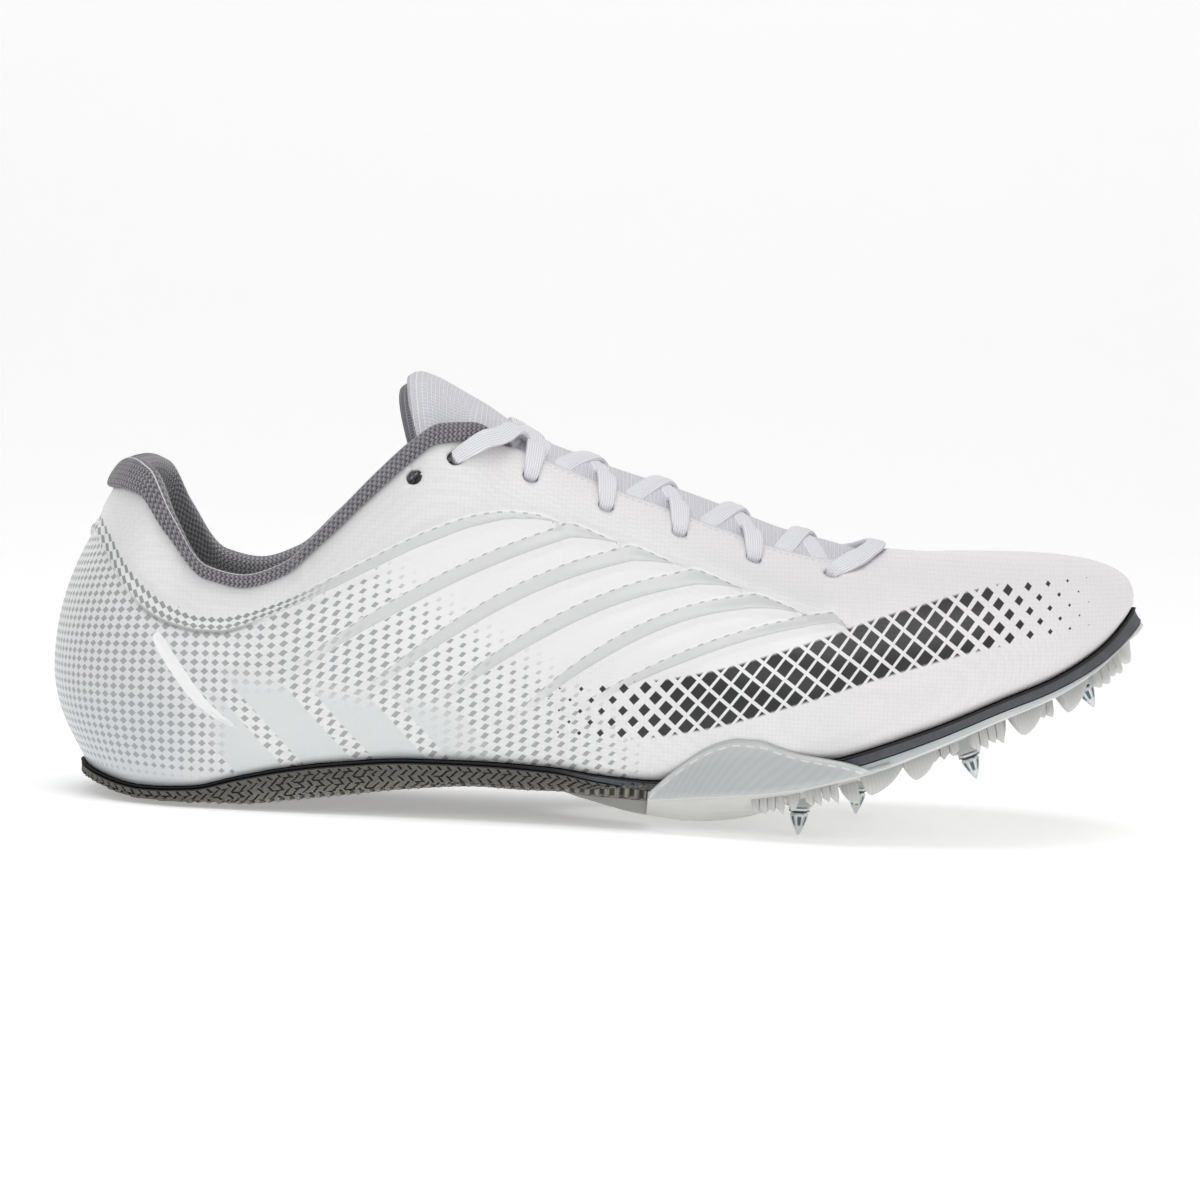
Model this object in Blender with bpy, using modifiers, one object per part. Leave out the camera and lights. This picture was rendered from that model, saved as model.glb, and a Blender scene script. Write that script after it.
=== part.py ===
"""A men's right track spike shoe: upper, collar lining, tongue, insole, sole, spikes and laces.

Metres, +Z up, +X to the toe, +Y to the inner side of the foot.
The origin is the centre of the heel's flat spot on the floor.
"""
import math

import bmesh
import bpy
import numpy as np
from mathutils import Matrix, Vector

# Sizes of the shoe
LENGTH = 0.280
BALL_WIDTH = 0.092
HEEL_WIDTH = 0.062
COLLAR_HEIGHT = 0.086
TOE_RISE = 0.060

# Thicknesses and gaps
GAP = 0.0003
UPPER_WALL = 0.0018
LINING_WALL = 0.0015
TONGUE_WALL = 0.0018
INSOLE_THICKNESS = 0.0025
MIDSOLE_STRIP = 0.0033
MEDIAL_LIFT = 0.0012

# Axes that the heel's and the toe's sections turn about
HEEL_AXIS = 5 / 280
TOE_AXIS = 196 / 280

# Sections of the upper, from the back of the heel to the tip of the toe.
# along: share of LENGTH. turn: degrees from the toe's direction.
# foot, belly and rim: shares of the shoe's width there, lateral then medial.
# up and top: shares of COLLAR_HEIGHT. lean: slope at the rim, degrees.
# side, crown: pulls of the curve between the widest point and the rim.
COLUMNS = ("along", "turn", "foot_l", "foot_m", "belly_l", "belly_m", "up",
           "rim_l", "rim_m", "top", "lean", "side", "crown", "steps")
SECTIONS = (
    (HEEL_AXIS, 180, 0.505, 0.505, 0.156, 0.156, 0.290, 0.395, 0.395, 0.959, 62, 0.40, 0.35, 2),
    (HEEL_AXIS, 150, 0.502, 0.502, 0.138, 0.138, 0.295, 0.403, 0.403, 0.965, 66, 0.40, 0.35, 2),
    (HEEL_AXIS, 130, 0.494, 0.494, 0.116, 0.116, 0.305, 0.413, 0.413, 0.942, 70, 0.40, 0.35, 2),
    (HEEL_AXIS, 112, 0.484, 0.484, 0.094, 0.094, 0.326, 0.423, 0.423, 0.820, 75, 0.40, 0.35, 2),
    (HEEL_AXIS, 90, 0.484, 0.484, 0.071, 0.068, 0.314, 0.435, 0.435, 0.679, 79, 0.40, 0.35, 1),
    (0.050, 90, 0.492, 0.481, 0.068, 0.068, 0.291, 0.442, 0.439, 0.658, 79, 0.40, 0.35, 1),
    (0.086, 90, 0.497, 0.468, 0.068, 0.074, 0.279, 0.444, 0.439, 0.698, 77, 0.40, 0.35, 1),
    (0.121, 90, 0.498, 0.453, 0.071, 0.084, 0.279, 0.439, 0.434, 0.812, 73, 0.40, 0.35, 1),
    (0.157, 90, 0.490, 0.433, 0.073, 0.095, 0.279, 0.423, 0.420, 0.946, 69, 0.40, 0.35, 1),
    (0.193, 90, 0.475, 0.407, 0.074, 0.104, 0.279, 0.395, 0.395, 1.066, 63, 0.40, 0.35, 1),
    (0.221, 90, 0.460, 0.386, 0.074, 0.110, 0.279, 0.362, 0.362, 1.130, 57, 0.40, 0.35, 1),
    (0.250, 90, 0.444, 0.367, 0.075, 0.115, 0.279, 0.321, 0.321, 1.138, 50, 0.40, 0.35, 1),
    (0.279, 90, 0.431, 0.348, 0.075, 0.119, 0.279, 0.279, 0.279, 1.102, 43, 0.40, 0.36, 2),
    (0.329, 90, 0.414, 0.323, 0.072, 0.119, 0.279, 0.240, 0.240, 1.044, 37, 0.42, 0.36, 2),
    (0.379, 90, 0.413, 0.316, 0.066, 0.112, 0.267, 0.219, 0.219, 0.984, 35, 0.44, 0.36, 2),
    (0.429, 90, 0.427, 0.328, 0.058, 0.099, 0.233, 0.203, 0.203, 0.933, 33, 0.46, 0.36, 2),
    (0.482, 90, 0.455, 0.362, 0.047, 0.078, 0.186, 0.189, 0.189, 0.877, 32, 0.50, 0.35, 2),
    (0.536, 90, 0.483, 0.407, 0.035, 0.054, 0.140, 0.174, 0.174, 0.826, 30, 0.54, 0.34, 2),
    (0.579, 90, 0.503, 0.433, 0.028, 0.043, 0.116, 0.150, 0.150, 0.804, 27, 0.56, 0.33, 1),
    (0.604, 90, 0.506, 0.440, 0.025, 0.038, 0.107, 0.126, 0.126, 0.806, 22, 0.57, 0.32, 1),
    (0.620, 90, 0.508, 0.444, 0.023, 0.034, 0.102, 0.090, 0.090, 0.818, 14, 0.57, 0.32, 1),
    (0.629, 90, 0.507, 0.446, 0.022, 0.033, 0.100, 0.045, 0.045, 0.829, 6, 0.58, 0.32, 1),
    (0.633, 90, 0.507, 0.446, 0.022, 0.033, 0.099, 0.000, 0.000, 0.834, 0, 0.58, 0.32, 1),
    (0.668, 90, 0.507, 0.443, 0.022, 0.028, 0.093, 0.000, 0.000, 0.831, 0, 0.60, 0.36, 1),
    (TOE_AXIS, 90, 0.493, 0.439, 0.022, 0.026, 0.087, 0.000, 0.000, 0.837, 0, 0.60, 0.42, 2),
    (TOE_AXIS, 65, 0.450, 0.435, 0.020, 0.022, 0.076, 0.000, 0.000, 0.837, -1, 0.62, 0.50, 2),
    (TOE_AXIS, 42, 0.437, 0.452, 0.016, 0.017, 0.064, 0.000, 0.000, 0.837, -2, 0.66, 0.60, 2),
    (TOE_AXIS, 20, 0.457, 0.478, 0.012, 0.013, 0.047, 0.000, 0.000, 0.837, -3, 0.70, 0.72, 2),
    (TOE_AXIS, 0, 0.485, 0.485, 0.009, 0.009, 0.029, 0.000, 0.000, 0.837, -4, 0.74, 0.82, 1),
)

# Heights of the sole along the shoe.
# along: share of LENGTH. foot, keel, band: shares of TOE_RISE, the upper's lower edge,
# the sole's lowest line and the lower edge of its side. strip: share of MIDSOLE_STRIP.
SOLE_LINES = (
    (-0.110, 0.152, 0.36, 0.115, 0.095),
    (-0.075, 0.110, 0.36, 0.043, 0.057),
    (-0.050, 0.087, 0.36, 0.010, 0.030),
    (-0.034, 0.080, 0.36, 0.000, 0.022),
    (0.014, 0.093, 0.36, 0.000, 0.020),
    (0.054, 0.143, 0.39, 0.000, 0.027),
    (0.100, 0.193, 0.42, 0.027, 0.050),
    (0.150, 0.228, 0.45, 0.060, 0.083),
    (0.207, 0.252, 0.45, 0.097, 0.123),
    (0.271, 0.255, 0.48, 0.120, 0.153),
    (0.336, 0.247, 0.61, 0.105, 0.140),
    (0.379, 0.227, 0.73, 0.065, 0.127),
    (0.421, 0.220, 0.85, 0.037, 0.133),
    (0.464, 0.250, 0.91, 0.023, 0.157),
    (0.507, 0.287, 0.97, 0.047, 0.182),
    (0.543, 0.317, 1.00, 0.110, 0.210),
    (0.582, 0.357, 1.00, 0.187, 0.257),
    (0.629, 0.433, 1.00, 0.267, 0.328),
    (0.679, 0.527, 0.95, 0.380, 0.432),
    (0.729, 0.630, 0.92, 0.500, 0.540),
    (0.779, 0.723, 0.95, 0.612, 0.636),
    (0.821, 0.830, 1.10, 0.725, 0.743),
    (0.857, 0.975, 1.45, 0.862, 0.868),
    (0.873, 1.050, 1.82, 0.885, 0.892),
    (0.890, 1.120, 2.00, 0.930, 0.935),
)

# The tongue's sections.
# along: share of LENGTH. crown: share of COLLAR_HEIGHT. half: share of BALL_WIDTH.
# drop: fall of the free edge as a share of COLLAR_HEIGHT, 0 where the edge lies under the upper.
TONGUE = (
    (0.184, 1.285, 0.165, 0.085),
    (0.190, 1.299, 0.192, 0.122),
    (0.204, 1.287, 0.206, 0.142),
    (0.221, 1.258, 0.209, 0.148),
    (0.238, 1.226, 0.207, 0.146),
    (0.256, 1.192, 0.208, 0.000),
    (0.279, 1.142, 0.225, 0.000),
    (0.307, 1.090, 0.250, 0.000),
    (0.336, 1.060, 0.255, 0.000),
    (0.379, 1.014, 0.252, 0.000),
    (0.429, 0.970, 0.248, 0.000),
    (0.482, 0.916, 0.242, 0.000),
    (0.536, 0.858, 0.232, 0.000),
    (0.579, 0.828, 0.215, 0.000),
    (0.610, 0.804, 0.190, 0.000),
    (0.630, 0.797, 0.165, 0.000),
    (0.655, 0.794, 0.120, 0.000),
)

# Where the tongue's edge slips under the upper, where it lies close, and its lining's end
TONGUE_FREE = 0.2554
TONGUE_UNDER = 0.2643
LINING_END = 0.393

# Eyelets: along as a share of LENGTH, and distance from the throat's edge in metres
EYELETS = ((0.200, 0.0085), (0.236, 0.0080), (0.304, 0.0075), (0.373, 0.0075),
           (0.440, 0.0075), (0.508, 0.0075), (0.579, 0.0070))
EYELET_RADIUS = 0.0022

# Laces: a flat oval cord
LACE_WIDTH = 0.0044
LACE_THICKNESS = 0.0016
LACE_LIFT = 0.0006
LACE_BOW = 0.0120
LACE_HUMP = 0.0013
LACE_FRONT = (0.568, 0.534)

# Spikes: along as a share of LENGTH, across in metres, height of the tip, and forward tilt
SPIKES = (
    ("spike_lateral_rear", 0.560, -0.025, 0.0000, 0),
    ("spike_medial_rear", 0.622, 0.025, 0.0000, 0),
    ("spike_lateral_front", 0.718, -0.025, 0.0164, 22),
    ("spike_medial_front", 0.735, 0.025, 0.0172, 22),
    ("spike_toe", 0.831, 0.002, 0.0335, 30),
)
SPIKE_POINT = 0.0056
SPIKE_BASE = 0.0014
SPIKE_TOP_RADIUS = 0.0018
SPIKE_HEX_RADIUS = 0.0030
POST_RADIUS = 0.0046

# Side wing of the plate: along as a share of LENGTH, its top as a share of TOE_RISE
WING = ((0.4235, 0.200), (0.431, 0.230), (0.448, 0.298), (0.463, 0.348), (0.481, 0.393),
        (0.500, 0.418), (0.518, 0.417), (0.537, 0.393), (0.556, 0.373), (0.575, 0.362),
        (0.594, 0.350), (0.606, 0.340))
WING_WALL = 0.0011

# Teeth round the plate's edge, steep behind and rounded in front
TEETH_START = 0.1450
TOOTH_PITCH = 0.0112
TOOTH_LENGTH = 0.0100
TOOTH_HEIGHT = 0.0056
TOOTH_THICKNESS = 0.0038
TOOTH_ROOT = 0.0004
# Outline of a tooth: share of its length, share of its height
TOOTH_OUTLINE = ((0.00, 0.05), (0.13, 1.00), (0.50, 0.90), (0.82, 0.52), (1.00, 0.05))

# Boundary between the heel rubber and the spike plate, seen from above
FORK_EDGE = 0.118
FORK_CENTRE = 0.093
FORK_WIDTH = 0.036


class Curve:
    """Smooth monotone interpolation of the columns of a table."""

    def __init__(self, where, values):
        self.x = np.asarray(where, float)
        self.y = np.asarray(values, float)
        step = np.diff(self.x)
        slope = np.diff(self.y, axis=0) / step[:, None]
        inner = np.zeros_like(self.y)
        a, b = slope[:-1], slope[1:]
        total = a + b
        same = (a * b > 0) & (np.abs(total) > 1e-12)
        inner[1:-1] = np.where(same, 2 * a * b / np.where(same, total, 1), 0)
        inner[0], inner[-1] = slope[0], slope[-1]
        self.slope = inner

    def __call__(self, t):
        t = min(max(t, self.x[0]), self.x[-1])
        i = min(max(int(np.searchsorted(self.x, t, side="right")) - 1, 0), len(self.x) - 2)
        h = self.x[i + 1] - self.x[i]
        s = (t - self.x[i]) / h
        rise = self.y[i + 1] - self.y[i]
        m0, m1 = self.slope[i] * h, self.slope[i + 1] * h
        return (self.y[i] + s * m0 + s * s * (3 * rise - 2 * m0 - m1)
                + s ** 3 * (m0 + m1 - 2 * rise))


# Curves of the shoe, worked out from the sizes and tables
sole_table = np.array(SOLE_LINES)
sole_curve = Curve(sole_table[:, 0] * LENGTH,
                   sole_table[:, 1:] * (TOE_RISE, MIDSOLE_STRIP, TOE_RISE, TOE_RISE))
spine_curve = Curve((0.0, 0.11, 0.15, 0.19, 0.25), ((0.0,), (0.001,), (0.002,), (0.003,), (0.003,)))


def foot_line(x):
    return sole_curve(x)[0]


def strip_height(x):
    return sole_curve(x)[1]


def keel_line(x):
    return sole_curve(x)[2]


def band_line(x):
    return sole_curve(x)[3]


def spine(x):
    if x < 0.03:
        return 0.0
    if x > TOE_AXIS * LENGTH:
        return 0.003
    return spine_curve(x)[0]


def width_at(x):
    """The shoe's width there, from the heel's to the ball's."""
    f = min(max((x / LENGTH - 0.10) / 0.45, 0), 1)
    return HEEL_WIDTH + (BALL_WIDTH - HEEL_WIDTH) * f * f * (3 - 2 * f)


def real_row(row):
    """A row of the table in metres and degrees, without its last column."""
    width = width_at(row[0] * LENGTH)
    scale = (LENGTH, 1, width, width, width, width, COLLAR_HEIGHT,
             width, width, COLLAR_HEIGHT, 1, 1, 1)
    return [value * by for value, by in zip(row, scale)]


rows = [real_row(row) for row in SECTIONS]
marks = [0.0]
for before, after in zip(rows, rows[1:]):
    turned = math.radians(abs(before[1] - after[1])) * (before[2] + after[2]) / 2
    marks.append(marks[-1] + abs(after[0] - before[0]) + turned)
row_curve = Curve(marks, rows)
row_array = np.array(rows)


def section(mark):
    """The section at a distance along the shoe's edge, as a dictionary."""
    values = list(row_curve(mark))
    values[0] = float(np.interp(mark, marks, row_array[:, 0]))
    values[1] = float(np.interp(mark, marks, row_array[:, 1]))
    return dict(zip(COLUMNS, values))


first_flat = next(i for i, row in enumerate(rows) if row[1] == 90)
last_flat = max(i for i, row in enumerate(rows) if row[1] == 90)


def section_at(x):
    """The crosswise section at x."""
    mark = np.interp(x, row_array[first_flat:last_flat + 1, 0], marks[first_flat:last_flat + 1])
    return section(float(mark))


def ray(cut, side):
    """Foot point of a section's plane and its direction outwards; side is -1 lateral, 1 medial."""
    angle = math.radians(cut["turn"])
    centre = (cut["along"], spine(cut["along"]))
    return centre, (math.cos(angle), side * math.sin(angle))


def place(cut, side, r, z):
    centre, way = ray(cut, side)
    return Vector((centre[0] + way[0] * r, centre[1] + way[1] * r, z))


def profile(cut, side, low=2, high=8):
    """Points (r, z) of the upper's outer face, from its lower edge to its rim."""
    suffix = "_l" if side < 0 else "_m"
    foot, belly, rim = cut["foot" + suffix], cut["belly" + suffix], cut["rim" + suffix]
    angle = math.radians(cut["turn"])
    z0 = foot_line(cut["along"] + foot * math.cos(angle))
    wide = np.array((foot + belly, z0 + cut["up"]))
    lift = MEDIAL_LIFT * min(max((0.06 - cut["along"]) / 0.03, 0), 1)
    if side > 0:
        lift *= math.sin(angle) ** 2
    else:
        lift = 0.0
    top = np.array((rim, cut["top"] + lift))
    points = []
    for i in range(low):
        t = i / low
        points.append((wide[0] - belly * (1 - t) ** 2, z0 + cut["up"] * t))
    lean = math.radians(cut["lean"])
    reach = float(np.hypot(*(top - wide)))
    p1 = wide + np.array((0, cut["side"] * (top[1] - wide[1])))
    p2 = top - cut["crown"] * reach * np.array((-math.cos(lean), math.sin(lean)))
    for i in range(high + 1):
        t = i / high
        point = ((1 - t) ** 3 * wide + 3 * (1 - t) ** 2 * t * p1
                 + 3 * (1 - t) * t * t * p2 + t ** 3 * top)
        points.append(tuple(point))
    return np.array(points)


def edge_frame(cut, side):
    """The profile as a path measured from the rim downwards."""
    points = profile(cut, side, 6, 24)[::-1]
    run = np.concatenate(([0], np.cumsum(np.hypot(*np.diff(points, axis=0).T))))
    return points, run


def along_profile(path, down, out):
    """Point at a distance down from the rim and out from the face."""
    points, run = path
    if down <= 0:
        a, b = points[0], points[1]
    else:
        i = min(int(np.searchsorted(run, down)), len(run) - 1)
        a, b = points[max(i - 1, 0)], points[i]
    way = (b - a) / np.hypot(*(b - a))
    normal = np.array((-way[1], way[0]))
    if down <= 0:
        base = points[0] + way * down
    else:
        base = np.array([np.interp(down, run, points[:, c]) for c in (0, 1)])
    return base + normal * out


# Stations from the heel's back to the toe's tip
stations = []
for i, row in enumerate(SECTIONS[:-1]):
    for n in range(row[-1]):
        stations.append(section(marks[i] + (marks[i + 1] - marks[i]) * n / row[-1]))
stations.append(section(marks[-1]))


# Clear the scene and make the collections
for old in list(bpy.data.objects):
    bpy.data.objects.remove(old, do_unlink=True)
shoe = bpy.data.collections.new("track_spike_shoe")
cutters = bpy.data.collections.new("cutters")
bpy.context.scene.collection.children.link(shoe)
bpy.context.scene.collection.children.link(cutters)


def material(name, colour, roughness, metallic=0.0):
    made = bpy.data.materials.new(name)
    made.use_nodes = True
    surface = made.node_tree.nodes["Principled BSDF"]
    surface.inputs["Base Color"].default_value = (*colour, 1)
    surface.inputs["Roughness"].default_value = roughness
    surface.inputs["Metallic"].default_value = metallic
    return made


def mesh_object(name, points, faces, look=None, smooth=True):
    """An object from a loft's points and faces, with shared points merged."""
    mesh = bpy.data.meshes.new(name)
    mesh.from_pydata([tuple(p) for p in points], [], faces)
    work = bmesh.new()
    work.from_mesh(mesh)
    bmesh.ops.remove_doubles(work, verts=work.verts, dist=1e-6)
    bmesh.ops.dissolve_degenerate(work, edges=work.edges, dist=1e-6)
    bmesh.ops.triangulate(work, faces=work.faces)
    if all(edge.is_manifold for edge in work.edges):
        bmesh.ops.recalc_face_normals(work, faces=work.faces)
    work.to_mesh(mesh)
    work.free()
    if smooth:
        mesh.shade_smooth()
        mesh.set_sharp_from_angle(angle=math.radians(40))
    made = bpy.data.objects.new(name, mesh)
    if look:
        mesh.materials.append(look)
        shoe.objects.link(made)
    else:
        made.hide_render = True
        made.display_type = "WIRE"
        cutters.objects.link(made)
    return made


def grid_faces(rows_count, columns, start=0, flip=False, closed=False):
    """Triangles of a grid of points, all split along the same diagonal."""
    faces = []
    for i in range(rows_count - 1):
        for j in range(columns if closed else columns - 1):
            k = (j + 1) % columns
            low, high = start + i * columns, start + (i + 1) * columns
            for face in ([low + j, low + k, high + k], [low + j, high + k, high + j]):
                faces.append(face[::-1] if flip else face)
    return faces


def two_sided(rings_of, cuts):
    """Points and faces of an open surface made of a lateral and a medial half."""
    points, faces = [], []
    for side in (-1, 1):
        rings = [rings_of(cut, side) for cut in cuts]
        start = len(points)
        for ring in rings:
            points.extend(ring)
        faces += grid_faces(len(rings), len(rings[0]), start, flip=side < 0)
    return points, faces


def thicken(made, thickness, offset=-1.0):
    solid = made.modifiers.new("wall", "SOLIDIFY")
    solid.thickness = thickness
    solid.offset = offset
    solid.use_even_offset = True
    return made


def tube(rings):
    """A closed body lofted through rings, capped at both ends."""
    count = len(rings[0])
    points = [p for ring in rings for p in ring]
    faces = grid_faces(len(rings), count, closed=True)
    faces.append(list(range(count))[::-1])
    faces.append([len(points) - count + j for j in range(count)])
    return points, faces


def boolean(made, other, operation):
    cut = made.modifiers.new(operation.lower(), "BOOLEAN")
    cut.operation = operation
    cut.object = other
    cut.solver = "EXACT"
    return cut


# Materials
white_film = material("white_film", (0.86, 0.87, 0.88), 0.32)
grey_knit = material("grey_knit", (0.16, 0.16, 0.17), 0.9)
white_mesh = material("white_mesh", (0.80, 0.81, 0.83), 0.8)
grey_lining = material("grey_lining", (0.20, 0.20, 0.21), 0.9)
insole_foam = material("insole_foam", (0.30, 0.31, 0.32), 0.85)
charcoal_foam = material("charcoal_foam", (0.06, 0.065, 0.07), 0.7)
frosted_plate = material("frosted_plate", (0.78, 0.82, 0.83), 0.35)
grey_rubber = material("grey_rubber", (0.075, 0.073, 0.068), 0.75)
spike_steel = material("spike_steel", (0.62, 0.64, 0.66), 0.3, 1.0)
lace_white = material("lace_white", (0.84, 0.84, 0.85), 0.8)


# Upper: one lofted surface from the lower edge to the rim, thickened inwards
def upper_ring(cut, side):
    return [place(cut, side, r, z) for r, z in profile(cut, side)]


upper = thicken(mesh_object("upper", *two_sided(upper_ring, stations), white_film), UPPER_WALL)


# Eyelet cutters through both sides of the throat
def eyelet_frame(index, side):
    along, inset = EYELETS[index]
    x = along * LENGTH
    cut = section_at(x)
    path = edge_frame(cut, side)
    here = Vector(place(cut, side, *along_profile(path, inset, 0)))
    inner = Vector(place(cut, side, *along_profile(path, inset, -0.002)))
    near = section_at(x + 0.004)
    ahead = Vector(place(near, side, *along_profile(edge_frame(near, side), inset, 0)))
    down = Vector(place(cut, side, *along_profile(path, inset + 0.003, 0)))
    normal = (ahead - here).cross(down - here).normalized()
    if normal.dot(here - inner) < 0:
        normal = -normal
    return here, normal


holes_points, holes_faces = [], []
for number in range(len(EYELETS)):
    for side in (-1, 1):
        centre, normal = eyelet_frame(number, side)
        work = bmesh.new()
        bmesh.ops.create_cone(work, cap_ends=True, segments=8, radius1=EYELET_RADIUS,
                              radius2=EYELET_RADIUS, depth=0.010)
        turn = normal.to_track_quat("Z", "Y").to_matrix().to_4x4()
        bmesh.ops.transform(work, matrix=Matrix.Translation(centre) @ turn, verts=work.verts)
        first = len(holes_points)
        holes_points += [v.co.copy() for v in work.verts]
        holes_faces += [[first + v.index for v in f.verts] for f in work.faces]
        work.free()
boolean(upper, mesh_object("eyelet_cutter", holes_points, holes_faces, smooth=False), "DIFFERENCE")


# Collar lining: a padded binding rolled over the rim, running down inside to the insole
def collar_section(cut, side):
    path = edge_frame(cut, side)
    total = path[1][-1]
    x = cut["along"]
    back = min(max((cut["turn"] - 100) / 40, 0), 1)
    front = min(max((x - 0.040) / 0.014, 0), 1)
    depth = (total - 0.0045) * (1 - front) + 0.0075 * front
    band = 0.0050 - 0.0018 * front
    rise = 0.0030 + 0.0012 * back
    skin = 0.0011 + 0.0007 * back
    near, far = GAP + 0.0002, GAP + 0.0001 + skin
    inner = -(UPPER_WALL + GAP + 0.0004)
    pad = LINING_WALL + 0.0010 * back
    outline = [(band, near), (band, far), (band * 0.4, far + 0.0003),
               (-rise * 0.70, far - 0.0006), (-rise, inner / 2),
               (-rise * 0.70, inner - pad + 0.0006), (0.001, inner - pad)]
    outline += [(depth * n / 4, inner - pad) for n in range(1, 5)]
    outline += [(depth * n / 4, inner) for n in range(4, 0, -1)]
    outline += [(-0.0008, inner), (-0.0008, near)]
    return [place(cut, side, *along_profile(path, down, out)) for down, out in outline]


collar_stations = [cut for cut in stations if cut["along"] < 0.0745]
collar_rings = [collar_section(cut, -1) for cut in reversed(collar_stations)]
collar_rings += [collar_section(cut, 1) for cut in collar_stations[1:]]
mesh_object("collar_lining", *tube(collar_rings), grey_knit)


# Tongue: a strip over the instep whose sides lie under the upper's inner face
tongue_table = np.array(TONGUE)
tongue_curve = Curve(tongue_table[:, 0] * LENGTH,
                     tongue_table[:, 1:] * (COLLAR_HEIGHT, BALL_WIDTH, COLLAR_HEIGHT))


def inner_face(x, side, extra):
    """The upper's inner face in the section at x, as rising r and its z."""
    cut = section_at(x)
    path = edge_frame(cut, side)
    points = np.array([along_profile(path, d, -extra) for d in np.linspace(0, 0.045, 40)])
    keep = np.concatenate(([True], np.diff(np.maximum.accumulate(points[:, 0])) > 1e-7))
    return points[keep]


def tongue_height(x, side, r):
    """Height of the tongue's top face over the shoe's centre line."""
    crown, half, drop = tongue_curve(x)
    blend = min(max((x / LENGTH - TONGUE_UNDER) / 0.05, 0), 1)
    extra = 0.0052 - 0.0022 * blend
    if x < TONGUE_FREE * LENGTH:
        return crown - drop * (r / half) ** 2.2
    face = inner_face(x, side, extra)
    if r >= face[0, 0]:
        return float(np.interp(r, face[:, 0], face[:, 1]))
    r1, z1 = face[0]
    fall = (face[1, 1] - face[0, 1]) / (face[1, 0] - face[0, 0])
    u = max(r, 0) / r1
    return float((1 - 3 * u * u + 2 * u ** 3) * crown + (3 * u * u - 2 * u ** 3) * z1
                 + (u ** 3 - u * u) * r1 * fall)


def strip_ring(x, side, half, count=8):
    fractions = [i / (count - 1) for i in range(count)]
    return [Vector((x, spine(x) + side * half * f, tongue_height(x, side, half * f)))
            for f in reversed(fractions)]


def strip_surface(places, narrower=0.0, count=8):
    points, faces = [], []
    for side in (-1, 1):
        start = len(points)
        for x in places:
            points += strip_ring(x, side, tongue_curve(x)[1] - narrower, count)
        faces += grid_faces(len(places), count, start, flip=side < 0)
    return points, faces


tongue_places = [row[0] * LENGTH for row in TONGUE]
tongue = mesh_object("tongue", *strip_surface(tongue_places), white_mesh)
thicken(tongue, TONGUE_WALL)

# Tongue lining: a softer layer under the tongue that shows at its back edge
lining_places = [x for x in tongue_places if x < LINING_END * LENGTH]
points, faces = strip_surface(lining_places, 0.0015, 6)
points = [Vector((p.x - 0.0022 * (p.x < 0.052), p.y, p.z)) for p in points]
tongue_lining = mesh_object("tongue_lining", points, faces, grey_lining)
under = tongue_lining.modifiers.new("lower", "DISPLACE")
under.mid_level = 0
under.strength = -(TONGUE_WALL + GAP * 3)
thicken(tongue_lining, 0.0020)


# Slabs of the sole and the insole, lofted over the same stations
SEAT = 0.0028
EDGE = 0.0010
TOE_LIP = 0.0020


def foot_radius(cut, side):
    return cut["foot_l" if side < 0 else "foot_m"]


def clear(x):
    """The gap between two layers, measured upwards on the slope at x."""
    return GAP * math.hypot(1.0, (foot_line(x + 0.001) - foot_line(x - 0.001)) / 0.002)


def slab_radii(cut, side, shares, lip):
    """Radii of a slab's points: shares of the foot's, the seat's edge and the slab's own edge."""
    foot = foot_radius(cut, side)
    radii = [foot * share for share in shares] + [foot - SEAT]
    if lip is None:
        return radii
    ahead = max(math.cos(math.radians(cut["turn"])), 0)
    return radii + [foot + EDGE + lip[0] + lip[1] * ahead]


def slab(name, look, lips, top, bottom, top_shares=(0.0, 0.6), bottom_shares=(0.0, 0.6)):
    """top and bottom give z from x and the share across the foot's width."""
    points, faces = [], []
    count = len(stations)
    for side in (-1, 1):
        rims = []
        for level, shares, lip, flip in ((bottom, bottom_shares, lips[0], side > 0),
                                         (top, top_shares, lips[1], side < 0)):
            start = len(points)
            rim = []
            for cut in stations:
                radii = slab_radii(cut, side, shares, lip)
                for r in radii[::-1]:
                    p = place(cut, side, r, 0)
                    p.z = level(p.x, r / radii[-1])
                    points.append(p)
                rim.append(points[-len(radii)])
            faces += grid_faces(count, len(shares) + (1 if lip is None else 2), start, flip=flip)
            rims.append(rim)
        start = len(points)
        for low, high in zip(*rims):
            points += [low.copy(), high.copy()]
        faces += grid_faces(count, 2, start, flip=side < 0)
    return mesh_object(name, points, faces, look)


slab("insole", insole_foam, (None, None), lambda x, f: foot_line(x) + INSOLE_THICKNESS,
     lambda x, f: foot_line(x))
slab("midsole", charcoal_foam, ((0, TOE_LIP), (0, 0)), lambda x, f: foot_line(x) - clear(x),
     lambda x, f: foot_line(x) - strip_height(x))


def underside(x, share):
    """The sole's lower face: flat in the middle, rising to its side's lower edge."""
    f = min(max((share - 0.45) / 0.55, 0), 1)
    return keel_line(x) + (band_line(x) - keel_line(x)) * f * f


def sole_top(x, share):
    return foot_line(x) - strip_height(x) - clear(x)


heel = slab("heel_outsole", grey_rubber, ((0, 0), (0, 0)), sole_top, underside, (0.0, 0.6),
            (0.0, 0.45, 0.75))
plate = slab("spike_plate", frosted_plate, ((0.0006, TOE_LIP), (0, TOE_LIP)), sole_top, underside, (0.0, 0.6),
             (0.0, 0.45, 0.75))


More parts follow.
